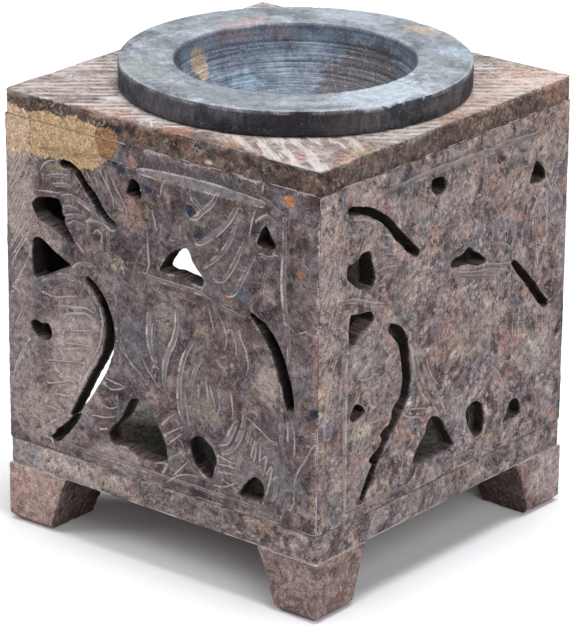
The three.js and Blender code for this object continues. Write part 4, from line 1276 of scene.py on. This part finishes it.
class Nodes:
    """Short calls for building a material's node tree. Sizes are in millimetres."""

    def __init__(self, name):
        self.material = bpy.data.materials.new(name)
        self.material.use_nodes = True
        self.tree = self.material.node_tree
        self.tree.nodes.clear()
        self.output = self.add("ShaderNodeOutputMaterial")

    def add(self, kind, inputs=(), **settings):
        """A node whose inputs, by name or number, take a fixed value or another node's output."""
        node = self.tree.nodes.new(kind)
        for key, value in settings.items():
            setattr(node, key, value)
        for key, value in dict(inputs).items():
            self.link(value, node.inputs[key])
        return node

    def link(self, source, target):
        if isinstance(source, (int, float, tuple)):
            target.default_value = source
        else:
            self.tree.links.new(source, target)

    def place(self, shift=(0, 0, 0)):
        """Object coordinates in millimetres."""
        coordinates = self.add("ShaderNodeTexCoord").outputs["Object"]
        inputs = {"Vector": coordinates, "Scale": (MM, MM, MM), "Location": shift}
        return self.add("ShaderNodeMapping", inputs).outputs[0]

    def moved(self, vector, shift):
        return self.add("ShaderNodeMapping", {"Vector": vector, "Location": shift}).outputs[0]

    def streaked(self, vector, heading, rise, long, fine):
        """Coordinates in which a noise of size 1 makes streaks along a heading and rise, in degrees."""
        turn = (0, -math.radians(rise), math.radians(heading))
        inputs = {"Vector": vector, "Rotation": turn, "Scale": (long, fine, fine)}
        return self.add("ShaderNodeMapping", inputs, vector_type="TEXTURE").outputs[0]

    def swirled(self, vector, size, amount):
        """Coordinates pushed about by a smooth noise."""
        swirl = self.add("ShaderNodeTexNoise", {"Vector": vector, "Scale": 1 / size, "Detail": 2})
        inputs = {0: swirl.outputs["Color"], 1: (0.5, 0.5, 0.5)}
        centred = self.add("ShaderNodeVectorMath", inputs, operation="SUBTRACT")
        inputs = {0: centred.outputs[0], 1: (amount, amount, amount), 2: vector}
        return self.add("ShaderNodeVectorMath", inputs, operation="MULTIPLY_ADD").outputs[0]

    def noise(self, vector, size=1.0, detail=4.0, roughness=0.55, distortion=0.0):
        """Noise whose lumps are about size millimetres."""
        inputs = {"Vector": vector, "Scale": 1 / size, "Detail": detail, "Roughness": roughness,
                  "Distortion": distortion}
        return self.add("ShaderNodeTexNoise", inputs).outputs["Fac"]

    def ramp(self, factor, low, high, colours):
        """Colours spread evenly over a range of the factor."""
        node = self.add("ShaderNodeValToRGB", {"Fac": factor})
        elements = node.color_ramp.elements
        while len(elements) < len(colours):
            elements.new(0.5)
        for index, colour in enumerate(colours):
            elements[index].position = low + (high - low) * index / (len(colours) - 1)
            elements[index].color = (*colour, 1)
        return node.outputs["Color"]

    def fade(self, value, low, high, out_low=0.0, out_high=1.0, smooth=True):
        inputs = {"Value": value, "From Min": low, "From Max": high, "To Min": out_low, "To Max": out_high}
        kind = "SMOOTHSTEP" if smooth else "LINEAR"
        return self.add("ShaderNodeMapRange", inputs, interpolation_type=kind).outputs["Result"]

    def math(self, operation, *values):
        return self.add("ShaderNodeMath", enumerate(values), operation=operation).outputs[0]

    def plus(self, first, second):
        return self.math("ADD", first, second)

    def times(self, *factors):
        return reduce(lambda product, factor: self.math("MULTIPLY", product, factor), factors)

    def most(self, *values):
        return reduce(lambda best, value: self.math("MAXIMUM", best, value), values)

    def mix(self, factor, first, second, blend="MIX"):
        first, second = ((*value, 1) if isinstance(value, tuple) else value for value in (first, second))
        inputs = {"Factor": factor, "A": first, "B": second}
        return self.add("ShaderNodeMix", inputs, data_type="RGBA", blend_type=blend).outputs["Result"]

    def toned(self, colour, tone):
        """A colour made darker or brighter by a tone round one."""
        return self.mix(1.0, colour, tone, "MULTIPLY")

    def spread(self, value, low, high, out_low, out_high):
        """An even change from one range to another."""
        return self.fade(value, low, high, out_low, out_high, False)

    def split(self, vector):
        return self.add("ShaderNodeSeparateXYZ", {0: vector}).outputs

    def joined(self, *parts):
        return self.add("ShaderNodeCombineXYZ", enumerate(parts)).outputs[0]

    def painted(self, name):
        """An attribute of the mesh, with outputs for its colour, its alpha and its plain value."""
        return self.add("ShaderNodeAttribute", attribute_name=name).outputs

    def attribute(self, name):
        return self.painted(name)["Fac"]

    def finish(self, colour, roughness, height, bump, specular=0.3):
        """Ends the tree with a Principled shader and a bump of so many millimetres."""
        relief = self.add("ShaderNodeBump", {"Distance": bump * METRE, "Height": height})
        shader = self.add("ShaderNodeBsdfPrincipled", {"Base Color": colour, "Roughness": roughness,
                                                       "Specular IOR Level": specular,
                                                       "Normal": relief.outputs[0]})
        self.link(shader.outputs[0], self.output.inputs["Surface"])
        return self.material


# How each stone looks. Colours run from dark to pale. A zone is (colour, size, cover, strength), flecks are
# (colour, size, size of their patches, cover, strength), and a set of scratches is (heading, rise, length,
# spacing, strength), in degrees and millimetres.
FRONT_LOOK = {
    "palette": ((0.050, 0.033, 0.037), (0.085, 0.059, 0.064), (0.130, 0.094, 0.098),
                (0.186, 0.141, 0.142), (0.28, 0.222, 0.216)),
    "zones": ((PLUM, 9.0, 0.47, 0.5), (SLATE, 7.0, 0.45, 0.6), (SOOT, 6.0, 0.44, 0.6),
              (RUST, 5.0, 0.37, 0.35), (OLIVE, 6.0, 0.39, 0.45), (MAUVE, 7.0, 0.42, 0.5)),
    "flecks": ((PALE_ROSE, 1.5, 9.0, 0.43, 0.35), (ASH, 1.1, 7.0, 0.44, 0.55),
               (CREAM, 1.2, 8.0, 0.41, 0.65), (SOOT, 1.6, 7.0, 0.47, 0.7)),
    "marks": ((0, 62, 7.0, 1.3, 0.3), (0, -52, 6.0, 1.2, 0.25), (0, 18, 6.0, 1.2, 0.2),
              (0, 84, 7.0, 1.2, 0.3)),
    "hatch": ((0, 62), (0, -48)), "veins": 0.35, "scratch": (0.50, 0.44, 0.43), "shift": (3, 11, 5),
    "depth_heading": 90, "groove": (0.35, 0.315, 0.335), "chalk": 0.85, "patched": True,
}
RIGHT_LOOK = {
    "palette": ((0.058, 0.041, 0.045), (0.124, 0.094, 0.098), (0.215, 0.166, 0.167), (0.33, 0.265, 0.256),
                (0.53, 0.44, 0.412)),
    "zones": ((PLUM, 9.0, 0.47, 0.5), (TAN, 7.0, 0.41, 0.4), (SLATE, 8.0, 0.46, 0.75),
              (SOOT, 6.0, 0.44, 0.65), (ROSE, 7.0, 0.44, 0.6), (MAUVE, 6.0, 0.45, 0.6)),
    "flecks": ((PALE_TAN, 1.9, 7.0, 0.44, 0.55), (CREAM, 1.3, 8.0, 0.45, 0.8),
               (PALE_ROSE, 1.6, 7.0, 0.46, 0.7), (SOOT, 1.8, 7.0, 0.49, 0.8)),
    "marks": ((90, 58, 6.0, 1.3, 0.35), (90, 30, 5.0, 1.2, 0.3), (90, -58, 5.0, 1.1, 0.2),
              (90, 86, 6.0, 1.2, 0.3)),
    "hatch": ((90, 55), (90, 15)), "veins": 0.4, "scratch": (0.62, 0.54, 0.50), "shift": (43, 21, 15),
    "depth_heading": 0, "groove": (0.36, 0.32, 0.315), "chalk": 0.5,
}
BACK_LOOK = {**FRONT_LOOK, "shift": (23, 51, 25)}
LEFT_LOOK = {**RIGHT_LOOK, "palette": FRONT_LOOK["palette"], "shift": (63, 31, 35)}
BASE_LOOK = {
    "palette": ((0.055, 0.039, 0.043), (0.113, 0.086, 0.09), (0.19, 0.15, 0.15), (0.28, 0.228, 0.22),
                (0.43, 0.36, 0.336)),
    "zones": ((PLUM, 7.0, 0.46, 0.5), (MAUVE, 7.0, 0.45, 0.6), (SLATE, 6.0, 0.44, 0.55),
              (SOOT, 5.0, 0.42, 0.6), (ROSE, 5.0, 0.40, 0.4), (TAN, 5.0, 0.38, 0.3)),
    "flecks": ((PALE_TAN, 1.5, 5.5, 0.44, 0.5), (CREAM, 1.2, 6.0, 0.44, 0.7),
               (PALE_ROSE, 1.4, 5.5, 0.44, 0.6), (SOOT, 1.2, 5.0, 0.48, 0.7)),
    "marks": ((0, 55, 5.0, 1.2, 0.35), (90, 58, 5.0, 1.2, 0.35), (45, 20, 5.0, 1.1, 0.3)),
    "hatch": ((0, 40), (90, 40)), "veins": 0.4, "scratch": (0.62, 0.55, 0.52), "shift": (13, 1, 45),
    "depth_heading": 0, "groove": (0.40, 0.37, 0.36), "chalk": 0.85,
    # The sawn top, which is the floor inside: pale stone, made paler still as painted light for the light
    # that comes in through the openings
    "sawn": ((0.60, 0.565, 0.485), (0.65, 0.61, 0.53), (0.70, 0.655, 0.57)),
    "saw_marks": ((20, 6.0, 3.0), (20, 6.0, 3.0)), "saw_colour": (0.70, 0.66, 0.58),
}
SLAB_LOOK = {
    "palette": ((0.026, 0.017, 0.014), (0.050, 0.034, 0.029), (0.080, 0.056, 0.047),
                (0.122, 0.088, 0.073), (0.19, 0.145, 0.117)),
    "zones": ((RUST, 5.0, 0.41, 0.3), (BROWN, 5.0, 0.44, 0.45), (SLATE, 5.0, 0.40, 0.5),
              (SOOT, 4.5, 0.44, 0.5), (OLIVE, 4.0, 0.38, 0.3)),
    "flecks": ((PALE_TAN, 1.3, 6.0, 0.42, 0.4), (CREAM, 1.0, 6.0, 0.42, 0.5),
               (LICHEN, 1.0, 6.0, 0.36, 0.4)),
    "marks": ((0, 62, 5.0, 1.2, 0.5), (90, 58, 5.0, 1.2, 0.5), (45, 10, 5.0, 1.1, 0.4)),
    "hatch": ((0, 55), (90, 60)), "veins": 0.45, "scratch": (0.48, 0.41, 0.37), "shift": (7, 2, 1),
    "depth_heading": 0, "groove": (0.78, 0.75, 0.73), "chalk": 0.8, "patched": True,
    "sawn": ((0.19, 0.145, 0.137), (0.28, 0.225, 0.213), (0.37, 0.315, 0.302), (0.49, 0.435, 0.42)),
    "saw_marks": ((41, 2.3, 0.2), (-36, 3.4, 0.1)), "saw_colour": (0.77, 0.72, 0.70),
}
FOOT_LOOK = {
    "palette": ((0.105, 0.065, 0.061), (0.165, 0.108, 0.101), (0.225, 0.152, 0.142), (0.29, 0.204, 0.191),
                (0.38, 0.283, 0.267)),
    "zones": ((ROSE, 6.0, 0.44, 0.35), (PLUM, 5.0, 0.45, 0.45), (SOOT, 4.0, 0.39, 0.35),
              (MAUVE, 5.0, 0.41, 0.4)),
    "flecks": ((PALE_ROSE, 1.2, 5.0, 0.44, 0.35), (CREAM, 0.9, 6.0, 0.42, 0.4)),
    "marks": ((0, 70, 4.0, 1.1, 0.5), (90, 40, 4.0, 1.1, 0.5)),
    "hatch": ((0, 60), (90, 50)), "veins": 0.2, "scratch": (0.60, 0.49, 0.46), "shift": (17, 8, 2),
    "depth_heading": 0, "groove": (0.4, 0.35, 0.34), "chalk": 0.8,
    # Dark colours and saw stripes for the sides of the feet that face in under the body: painted shade
    "sawn": ((0.035, 0.020, 0.018), (0.075, 0.046, 0.041), (0.13, 0.086, 0.077)),
    "saw_marks": ((45, 1.3, 0.35), (45, 1.3, 0.35)), "saw_colour": (0.20, 0.142, 0.13),
}


def contour(tree, value, width):
    """Thin lines of even width along the middle level of a noise."""
    return tree.fade(tree.math("ABSOLUTE", tree.math("SUBTRACT", value, 0.5)), width, width * 0.35)


def stone_marks(tree, place, marks):
    """Fine pale scratches, each set in patches of its own."""
    sets = []
    for number, (heading, rise, long, spacing, strength) in enumerate(marks):
        bent = tree.swirled(tree.moved(place, (3, 17 * number, 8)), 7.0 + number, 2.2)
        lines = contour(tree, tree.noise(tree.streaked(bent, heading, rise, long, spacing), 1.0, 1.0), 0.035)
        patch = tree.fade(tree.noise(tree.moved(place, (7 * number, 19, 5)), 7.0, 3.0, 0.6), 0.54, 0.62)
        sets.append(tree.times(lines, patch, strength))
    return tree.most(*sets)


def saw_stripes(tree, place, heading, pitch, level):
    """Pale stripes across which a saw travelled, uneven in width and broken up."""
    across = tree.split(tree.streaked(tree.swirled(place, 9.0, 2.4), heading, 0, pitch, pitch))[1]
    wave = tree.math("SINE", tree.times(across, math.tau))
    uneven = tree.noise(tree.streaked(place, heading, 0, 12.0, 2.6), 1.0, 3.0, 0.6)
    lines = tree.fade(tree.plus(wave, tree.spread(uneven, 0.3, 0.7, -1.9, 1.9)), level, level + 0.6)
    fine = tree.noise(tree.streaked(place, heading, 0, 4.0, 0.3), 1.0, 2.0)
    return tree.times(lines, tree.fade(fine, 0.36, 0.58, 0.35, 1.0))


def mottled(tree, bent, look):
    """The stone's own colours, in clouds and zones."""
    colour = tree.ramp(tree.noise(bent, 3.6, 5.0, 0.6), 0.34, 0.66, look["palette"])
    for number, (tint, size, cover, strength) in enumerate(look["zones"]):
        zone = tree.noise(tree.moved(bent, (31 * number, 7, 13)), size, 6.0, 0.64)
        colour = tree.mix(tree.times(tree.fade(zone, 0.98 - cover, 1.04 - cover), strength), colour, tint)
    return colour


def flecked(tree, place, colour, flecks):
    """Lays small flecks over a colour, each kind in patches of its own."""
    for number, (tint, size, zone_size, cover, strength) in enumerate(flecks):
        fleck = tree.noise(tree.moved(place, (51, 3 + 17 * number, 9)), size, 5.0, 0.75)
        zone = tree.noise(tree.moved(place, (9, 61, 3 + 23 * number)), zone_size, 4.0, 0.6)
        where = tree.fade(zone, 0.99 - cover, 1.06 - cover)
        colour = tree.mix(tree.times(tree.fade(fleck, 0.54, 0.58), where, strength), colour, tint)
    return colour


def patched(tree, colour, place, grain, dusted):
    """Lays the sharp-edged patches over a colour and breaks up their edges."""
    patch = tree.painted("patch")
    speckle = tree.noise(place, 1.0, 4.0, 0.75)
    own = tree.toned(patch["Color"], tree.spread(speckle, 0.34, 0.66, 0.55, 1.35))
    own = tree.toned(own, tree.spread(grain, 0.3, 0.7, 0.6, 1.45))
    pits = tree.fade(tree.noise(tree.moved(place, (7, 7, 7)), 0.8, 2.0), 0.34, 0.30)
    own = tree.mix(tree.times(pits, 0.8), own, BROWN)
    edge = tree.plus(patch["Alpha"], tree.spread(speckle, 0.3, 0.7, -0.35, 0.35))
    cover = tree.times(tree.fade(edge, 0.46, 0.56), tree.fade(dusted, 0.2, 0.8, 1.0, 0.3))
    return tree.mix(cover, colour, own)


def paint_cut_shade(tree, colour, filed, wall):
    """Lays painted shade over a colour: a dark band beside the carved lines, and near black on the walls of
    cuts. Where a wall faces up it shows pale dust instead.
    """
    upward = tree.fade(tree.split(tree.add("ShaderNodeNewGeometry").outputs["Normal"])[2], 0.5, 1.0)
    # Near-black painted shade for the walls of cuts, and dust for those that face up
    shaded_cut = tree.ramp(filed, 0.38, 0.62, ((0.008, 0.005, 0.005), (0.014, 0.009, 0.009), (0.028, 0.019, 0.018)))
    dusty = tree.ramp(filed, 0.38, 0.62, ((0.09, 0.07, 0.065), (0.17, 0.135, 0.127), (0.30, 0.25, 0.235)))
    colour = tree.mix(tree.times(tree.attribute("painted_shade"), 0.8), colour, SHADE_UMBER)
    return tree.mix(tree.times(wall, 0.95), colour, tree.mix(upward, shaded_cut, dusty))


def soapstone(name, look):
    """Mottled soapstone with pale dust in what is carved, and painted shade beside the carved lines and on
    the walls of cuts.
    """
    tree = Nodes(name)
    place = tree.place(look["shift"])
    bent = tree.swirled(place, 6.0, 5.0)
    blot = tree.painted("blot")
    colour = tree.mix(blot["Alpha"], mottled(tree, bent, look), blot["Color"])
    # The sawn top of a slab, on the base made paler as painted light; on the feet, dark painted shade on the
    # sides that face in under the body
    if "sawn" in look:
        sawn = tree.attribute("sawn")
        bare = tree.ramp(tree.noise(bent, 5.0, 5.0, 0.62), 0.34, 0.66, look["sawn"])
        bare = tree.mix(tree.times(blot["Alpha"], 0.95), bare, blot["Color"])
        colour = tree.mix(sawn, colour, bare)
    # Light and dark at two sizes
    lumps = tree.noise(tree.moved(bent, (3, 5, 77)), 1.3, 3.0, 0.6)
    grain = tree.noise(place, 0.34, 1.0, 0.6)
    hatches = [tree.noise(tree.streaked(bent, *way, 3.0, 0.3), 1.0, 1.0) for way in look["hatch"]]
    hatched = tree.mix(tree.fade(tree.noise(bent, 3.5, 2.0), 0.45, 0.55), *hatches)
    colour = tree.toned(colour, tree.spread(lumps, 0.32, 0.68, 0.56, 1.54))
    colour = tree.toned(colour, tree.spread(hatched, 0.32, 0.68, 0.94, 1.06))
    colour = tree.toned(colour, tree.spread(grain, 0.3, 0.7, 0.62, 1.43))
    colour = flecked(tree, place, colour, look["flecks"])
    # Veins, scratches and saw marks
    veins = contour(tree, tree.noise(tree.moved(bent, (1, 2, 3)), 2.0, 3.0, 0.6, 1.0), 0.03)
    broken = tree.fade(tree.noise(tree.moved(place, (81, 1, 3)), 3.0, 4.0, 0.65), 0.51, 0.57)
    pale = tree.most(tree.times(veins, broken, look["veins"]), stone_marks(tree, place, look["marks"]))
    colour = tree.mix(pale, colour, look["scratch"])
    if "sawn" in look:
        stripes = [saw_stripes(tree, place, *marks) for marks in look["saw_marks"]]
        saw = tree.times(tree.mix(tree.attribute("across"), *stripes), sawn, 0.72)
        colour = tree.mix(saw, colour, look["saw_colour"])
        pale = tree.most(pale, saw)
    # Carved lines: a dusty floor between chalky edges, the brighter left edge partly a painted highlight
    groove = tree.times(tree.attribute("groove"), tree.fade(lumps, 0.36, 0.6, 0.4, 0.85))
    colour = tree.mix(groove, colour, look["groove"])
    rough_chalk = tree.plus(tree.attribute("chalk"), tree.spread(grain, 0.3, 0.7, -0.16, 0.16))
    dusted = tree.fade(rough_chalk, 0.2, 0.62)
    colour = tree.mix(tree.times(dusted, look["chalk"]), colour, CHALK)
    if look.get("patched"):
        colour = patched(tree, colour, place, grain, dusted)
    # Painted shade beside the carved lines and on the walls of cuts
    wall = tree.attribute("wall")
    filed = tree.noise(tree.streaked(place, look["depth_heading"], 0, 5.0, 0.4), 1.0, 2.0)
    colour = paint_cut_shade(tree, colour, filed, wall)
    height = tree.plus(tree.times(grain, 0.5), tree.times(lumps, 0.6))
    height = tree.plus(tree.math("SUBTRACT", height, tree.times(pale, 0.4)), tree.times(filed, wall, 1.6))
    return tree.finish(colour, tree.fade(grain, 0.3, 0.7, 0.7, 0.9), height, 0.25, 0.12)


# One stone in three palettes: the rim paler and bluer, partly as painted sheen, and the outer side near
# black, partly as painted shade
DISH_RIM_SHEEN_COLOURS = ((0.17, 0.19, 0.215), (0.26, 0.29, 0.325), (0.35, 0.385, 0.43), (0.47, 0.515, 0.57))
DISH_BOWL_COLOURS = ((0.085, 0.105, 0.14), (0.155, 0.19, 0.25), (0.25, 0.305, 0.385))
DISH_SIDE_SHADE_COLOURS = ((0.006, 0.005, 0.009), (0.017, 0.017, 0.024), (0.040, 0.044, 0.058), (0.10, 0.11, 0.14))
DISH_SCRATCH = (0.62, 0.62, 0.63)

# Headings and rises of the scratches on the dish, in degrees
DISH_MARKS = ((20, 10), (75, -30), (130, 40), (50, 70))


def dish_colour(tree, place, bent, bowl, outer):
    """Clouds of blue-grey on the rim, in the bowl and on the outer side, with the blots laid over them. The
    rim's pale blue is partly painted sheen and the outer side's near black partly painted shade.
    """
    clouds = tree.noise(bent, 6.5, 6.0, 0.6)
    rim = tree.ramp(clouds, 0.34, 0.66, DISH_RIM_SHEEN_COLOURS)
    inner = tree.ramp(clouds, 0.34, 0.66, DISH_BOWL_COLOURS)
    side = tree.ramp(tree.noise(bent, 6.0, 5.0, 0.62), 0.34, 0.66, DISH_SIDE_SHADE_COLOURS)
    colour = tree.mix(outer, tree.mix(bowl, rim, inner), side)
    blot = tree.painted("blot")
    ragged = tree.spread(tree.noise(place, 1.2, 5.0, 0.75), 0.3, 0.7, -0.4, 0.4)
    cover = tree.fade(tree.plus(blot["Alpha"], ragged), 0.1, 0.5)
    return tree.mix(tree.times(cover, 0.85), colour, blot["Color"])


def rings_and_drips(tree, place):
    """Noise in rings round the middle of the dish, and noise in upright lines round its side."""
    x, y, z = tree.split(tree.moved(place, (-DISH_MIDDLE[0], -DISH_MIDDLE[1], 0)))
    radius = tree.math("SQRT", tree.plus(tree.times(x, x), tree.times(y, y)))
    turn = tree.math("ARCTAN2", y, x)
    polar = tree.joined(tree.times(radius, 3.2), tree.times(turn, 1.6), tree.times(z, 3.2))
    upright = tree.joined(tree.times(turn, 34), tree.times(z, 0.28))
    return tree.noise(polar, 1.0, 3.0, 0.7), tree.noise(upright, 1.0, 4.0, 0.7)


def dish_marks(tree, place, grain, outer):
    """Pale scratches, flecks and chalk, fainter on the outer side."""
    sets = []
    for number, (heading, rise) in enumerate(DISH_MARKS):
        bent = tree.swirled(place, 8.0 + number, 2.0)
        lines = tree.fade(tree.noise(tree.streaked(bent, heading, rise, 5.0, 0.16), 1.0, 1.0), 0.66, 0.72)
        patch = tree.fade(tree.noise(tree.moved(place, (7 * number, 19, 5)), 6.0, 3.0, 0.6), 0.5, 0.58)
        sets.append(tree.times(lines, patch, tree.spread(outer, 0, 1, 0.8, 0.2)))
    flecks = tree.fade(tree.noise(tree.moved(place, (51, 3, 9)), 0.5, 2.0, 0.7), 0.66, 0.7)
    flecks = tree.times(flecks, tree.spread(outer, 0, 1, 0.5, 0.05))
    chalk = tree.times(tree.attribute("chalk"), tree.fade(grain, 0.4, 0.6, 0.3, 1.0))
    return tree.most(*sets, flecks, chalk)


def dish_stone():
    """Turned blue-grey stone: pale on the rim, partly as painted sheen, darker inside, and darkest and
    polished on its outer side, partly as painted shade.
    """
    tree = Nodes("dish_stone")
    place = tree.place()
    outer, bowl, ringed = tree.attribute("outer"), tree.attribute("bowl"), tree.attribute("ringed")
    bent = tree.swirled(place, 7.0, 5.0)
    colour = dish_colour(tree, place, bent, bowl, outer)
    rings, drips = rings_and_drips(tree, place)
    grain = tree.noise(place, 0.36, 3.0, 0.7)
    lumps = tree.noise(bent, 1.6, 3.0, 0.65)
    soft_rings = tree.spread(rings, 0.3, 0.7, 0.88, 1.12)
    strong_rings = tree.spread(rings, 0.33, 0.67, 0.4, 1.75)
    colour = tree.toned(colour, tree.mix(ringed, soft_rings, strong_rings))
    colour = tree.toned(colour, tree.mix(outer, (1.0, 1.0, 1.0), tree.spread(drips, 0.3, 0.7, 0.55, 1.6)))
    colour = tree.toned(colour, tree.spread(grain, 0.3, 0.7, 0.7, 1.3))
    colour = tree.toned(colour, tree.spread(lumps, 0.3, 0.7, 0.76, 1.25))
    colour = tree.mix(dish_marks(tree, place, grain, outer), colour, DISH_SCRATCH)
    roughness = tree.plus(tree.fade(grain, 0.3, 0.7, 0.5, 0.66), tree.times(ringed, 0.1))
    height = tree.plus(tree.times(grain, 0.4), tree.times(rings, ringed, 1.2))
    return tree.finish(colour, roughness, height, 0.14, 0.35)


# Stage

FLOOR_SIZE = 12
FLOOR_GREY = (0.8, 0.8, 0.8, 1)
FLOOR_WHITE = (1.12, 1.135, 1.165, 1)
WORLD_LEVEL = 0.11
LAMP_TARGET = Vector((0, 0, 0.05))
LAMPS = (
    # name, place in metres, size, power
    ("left_softbox", (-1.1, -0.9, 1.1), 1.0, 10.4),
    ("right_softbox", (1.3, -0.6, 0.9), 1.1, 11.2),
    ("top_softbox", (0.1, 0.05, 1.5), 0.6, 16.5),
)


def build_stage():
    """A white floor, which looks whiter to the camera than to the stone."""
    mesh = bpy.data.meshes.new("floor")
    corners = [(x * FLOOR_SIZE, y * FLOOR_SIZE, 0) for x, y in ((-1, -1), (1, -1), (1, 1), (-1, 1))]
    mesh.from_pydata(corners, [], [(0, 1, 2, 3)])
    floor = bpy.data.objects.new("floor", mesh)
    bpy.context.scene.collection.objects.link(floor)
    tree = Nodes("white_floor")
    plain = tree.add("ShaderNodeBsdfDiffuse", {"Color": FLOOR_GREY})
    seen = tree.add("ShaderNodeBsdfDiffuse", {"Color": FLOOR_WHITE})
    ray = tree.add("ShaderNodeLightPath").outputs
    looked_at = tree.most(ray["Is Camera Ray"], ray["Is Glossy Ray"])
    choice = tree.add("ShaderNodeMixShader", {0: looked_at, 1: plain.outputs[0], 2: seen.outputs[0]})
    tree.link(choice.outputs[0], tree.output.inputs["Surface"])
    mesh.materials.append(tree.material)


def build_world():
    """White behind everything, but weaker as a light."""
    world = bpy.data.worlds.new("studio")
    bpy.context.scene.world = world
    world.use_nodes = True
    nodes, links = world.node_tree.nodes, world.node_tree.links
    background = nodes["Background"]
    path = nodes.new("ShaderNodeLightPath")
    strength = nodes.new("ShaderNodeMix")
    strength.inputs["A"].default_value = WORLD_LEVEL
    strength.inputs["B"].default_value = 1.0
    links.new(path.outputs["Is Camera Ray"], strength.inputs["Factor"])
    links.new(strength.outputs["Result"], background.inputs["Strength"])
    background.inputs["Color"].default_value = (1, 1, 1, 1)


def build_lamps():
    for name, place, size, power in LAMPS:
        data = bpy.data.lights.new(name, "AREA")
        data.shape = "SQUARE"
        data.size = size
        data.energy = power
        lamp = bpy.data.objects.new(name, data)
        lamp.location = place
        lamp.rotation_euler = (LAMP_TARGET - Vector(place)).to_track_quat("-Z", "Y").to_euler()
        bpy.context.scene.collection.objects.link(lamp)


# Camera, matched to the corners of the box in the photograph
CAMERA_AZIMUTH = math.radians(39.047)
CAMERA_ELEVATION = math.radians(20.786)
CAMERA_ROLL = math.radians(0.52)
CAMERA_DISTANCE = 0.8055
CAMERA_TARGET = Vector((0.00294, -0.00387, 0.04314))
FOCAL_PIXELS = 4027.85
PICTURE_HEIGHT = 640
SENSOR_HEIGHT = 24


def build_camera():
    back = Vector((math.sin(CAMERA_AZIMUTH) * math.cos(CAMERA_ELEVATION),
                   -math.cos(CAMERA_AZIMUTH) * math.cos(CAMERA_ELEVATION), math.sin(CAMERA_ELEVATION)))
    side = Vector((0, 0, 1)).cross(back).normalized()
    up = back.cross(side)
    turned_side = side * math.cos(CAMERA_ROLL) + up * math.sin(CAMERA_ROLL)
    turned_up = up * math.cos(CAMERA_ROLL) - side * math.sin(CAMERA_ROLL)
    data = bpy.data.cameras.new("camera")
    data.sensor_fit = "VERTICAL"
    data.sensor_height = SENSOR_HEIGHT
    data.lens = FOCAL_PIXELS / PICTURE_HEIGHT * SENSOR_HEIGHT
    data.clip_start = 0.01
    data.clip_end = 50
    camera = bpy.data.objects.new("camera", data)
    turn = Matrix((turned_side, turned_up, back)).transposed()
    camera.matrix_world = Matrix.Translation(CAMERA_TARGET + back * CAMERA_DISTANCE) @ turn.to_4x4()
    bpy.context.scene.collection.objects.link(camera)
    bpy.context.scene.camera = camera


build_camera()
build_world()
build_lamps()
build_stage()
bpy.context.scene.view_settings.view_transform = "Standard"

front_material = soapstone("front_stone", FRONT_LOOK)
right_material = soapstone("right_stone", RIGHT_LOOK)
back_material = soapstone("back_stone", BACK_LOOK)
left_material = soapstone("left_stone", LEFT_LOOK)
slab_material = soapstone("top_stone", SLAB_LOOK)
base_material = soapstone("base_stone", BASE_LOOK)
foot_material = soapstone("foot_stone", FOOT_LOOK)

FRONT_CARVING = (FRONT_STROKES + FRONT_HATCHING, FRONT_HOLLOWS)
RIGHT_CARVING = (RIGHT_STROKES + RIGHT_HATCHING, RIGHT_HOLLOWS)
panel_piece("front_panel", 0, FRONT_CARVING, 11, front_material, FRONT_BLOTS, FRONT_PATCHES,
            pale_ledge=FRONT_LEDGE)
panel_piece("right_panel", 1, RIGHT_CARVING, 12, right_material, RIGHT_BLOTS)
panel_piece("back_panel", 2, (shifted(FRONT_STROKES), ()), 13, back_material, PLAIN_BLOTS,
            narrowing=BACK_HOLE_NARROWING)
panel_piece("left_panel", 3, (PLAIN_STROKES, ()), 14, left_material, PLAIN_BLOTS)
slab_piece("top_slab", 21, slab_material, TOP_BLOTS, FRONT_PATCHES, TOP_STROKES,
           LID_DARK_EDGE, LID_ARRIS_CHALK)
slab_piece("base_slab", 22, base_material, BASE_BLOTS)
for number, foot in enumerate(("foot_front_left", "foot_front_right", "foot_back_right", "foot_back_left")):
    foot_piece(foot, 31 + number, foot_material)
dish_piece(dish_stone())
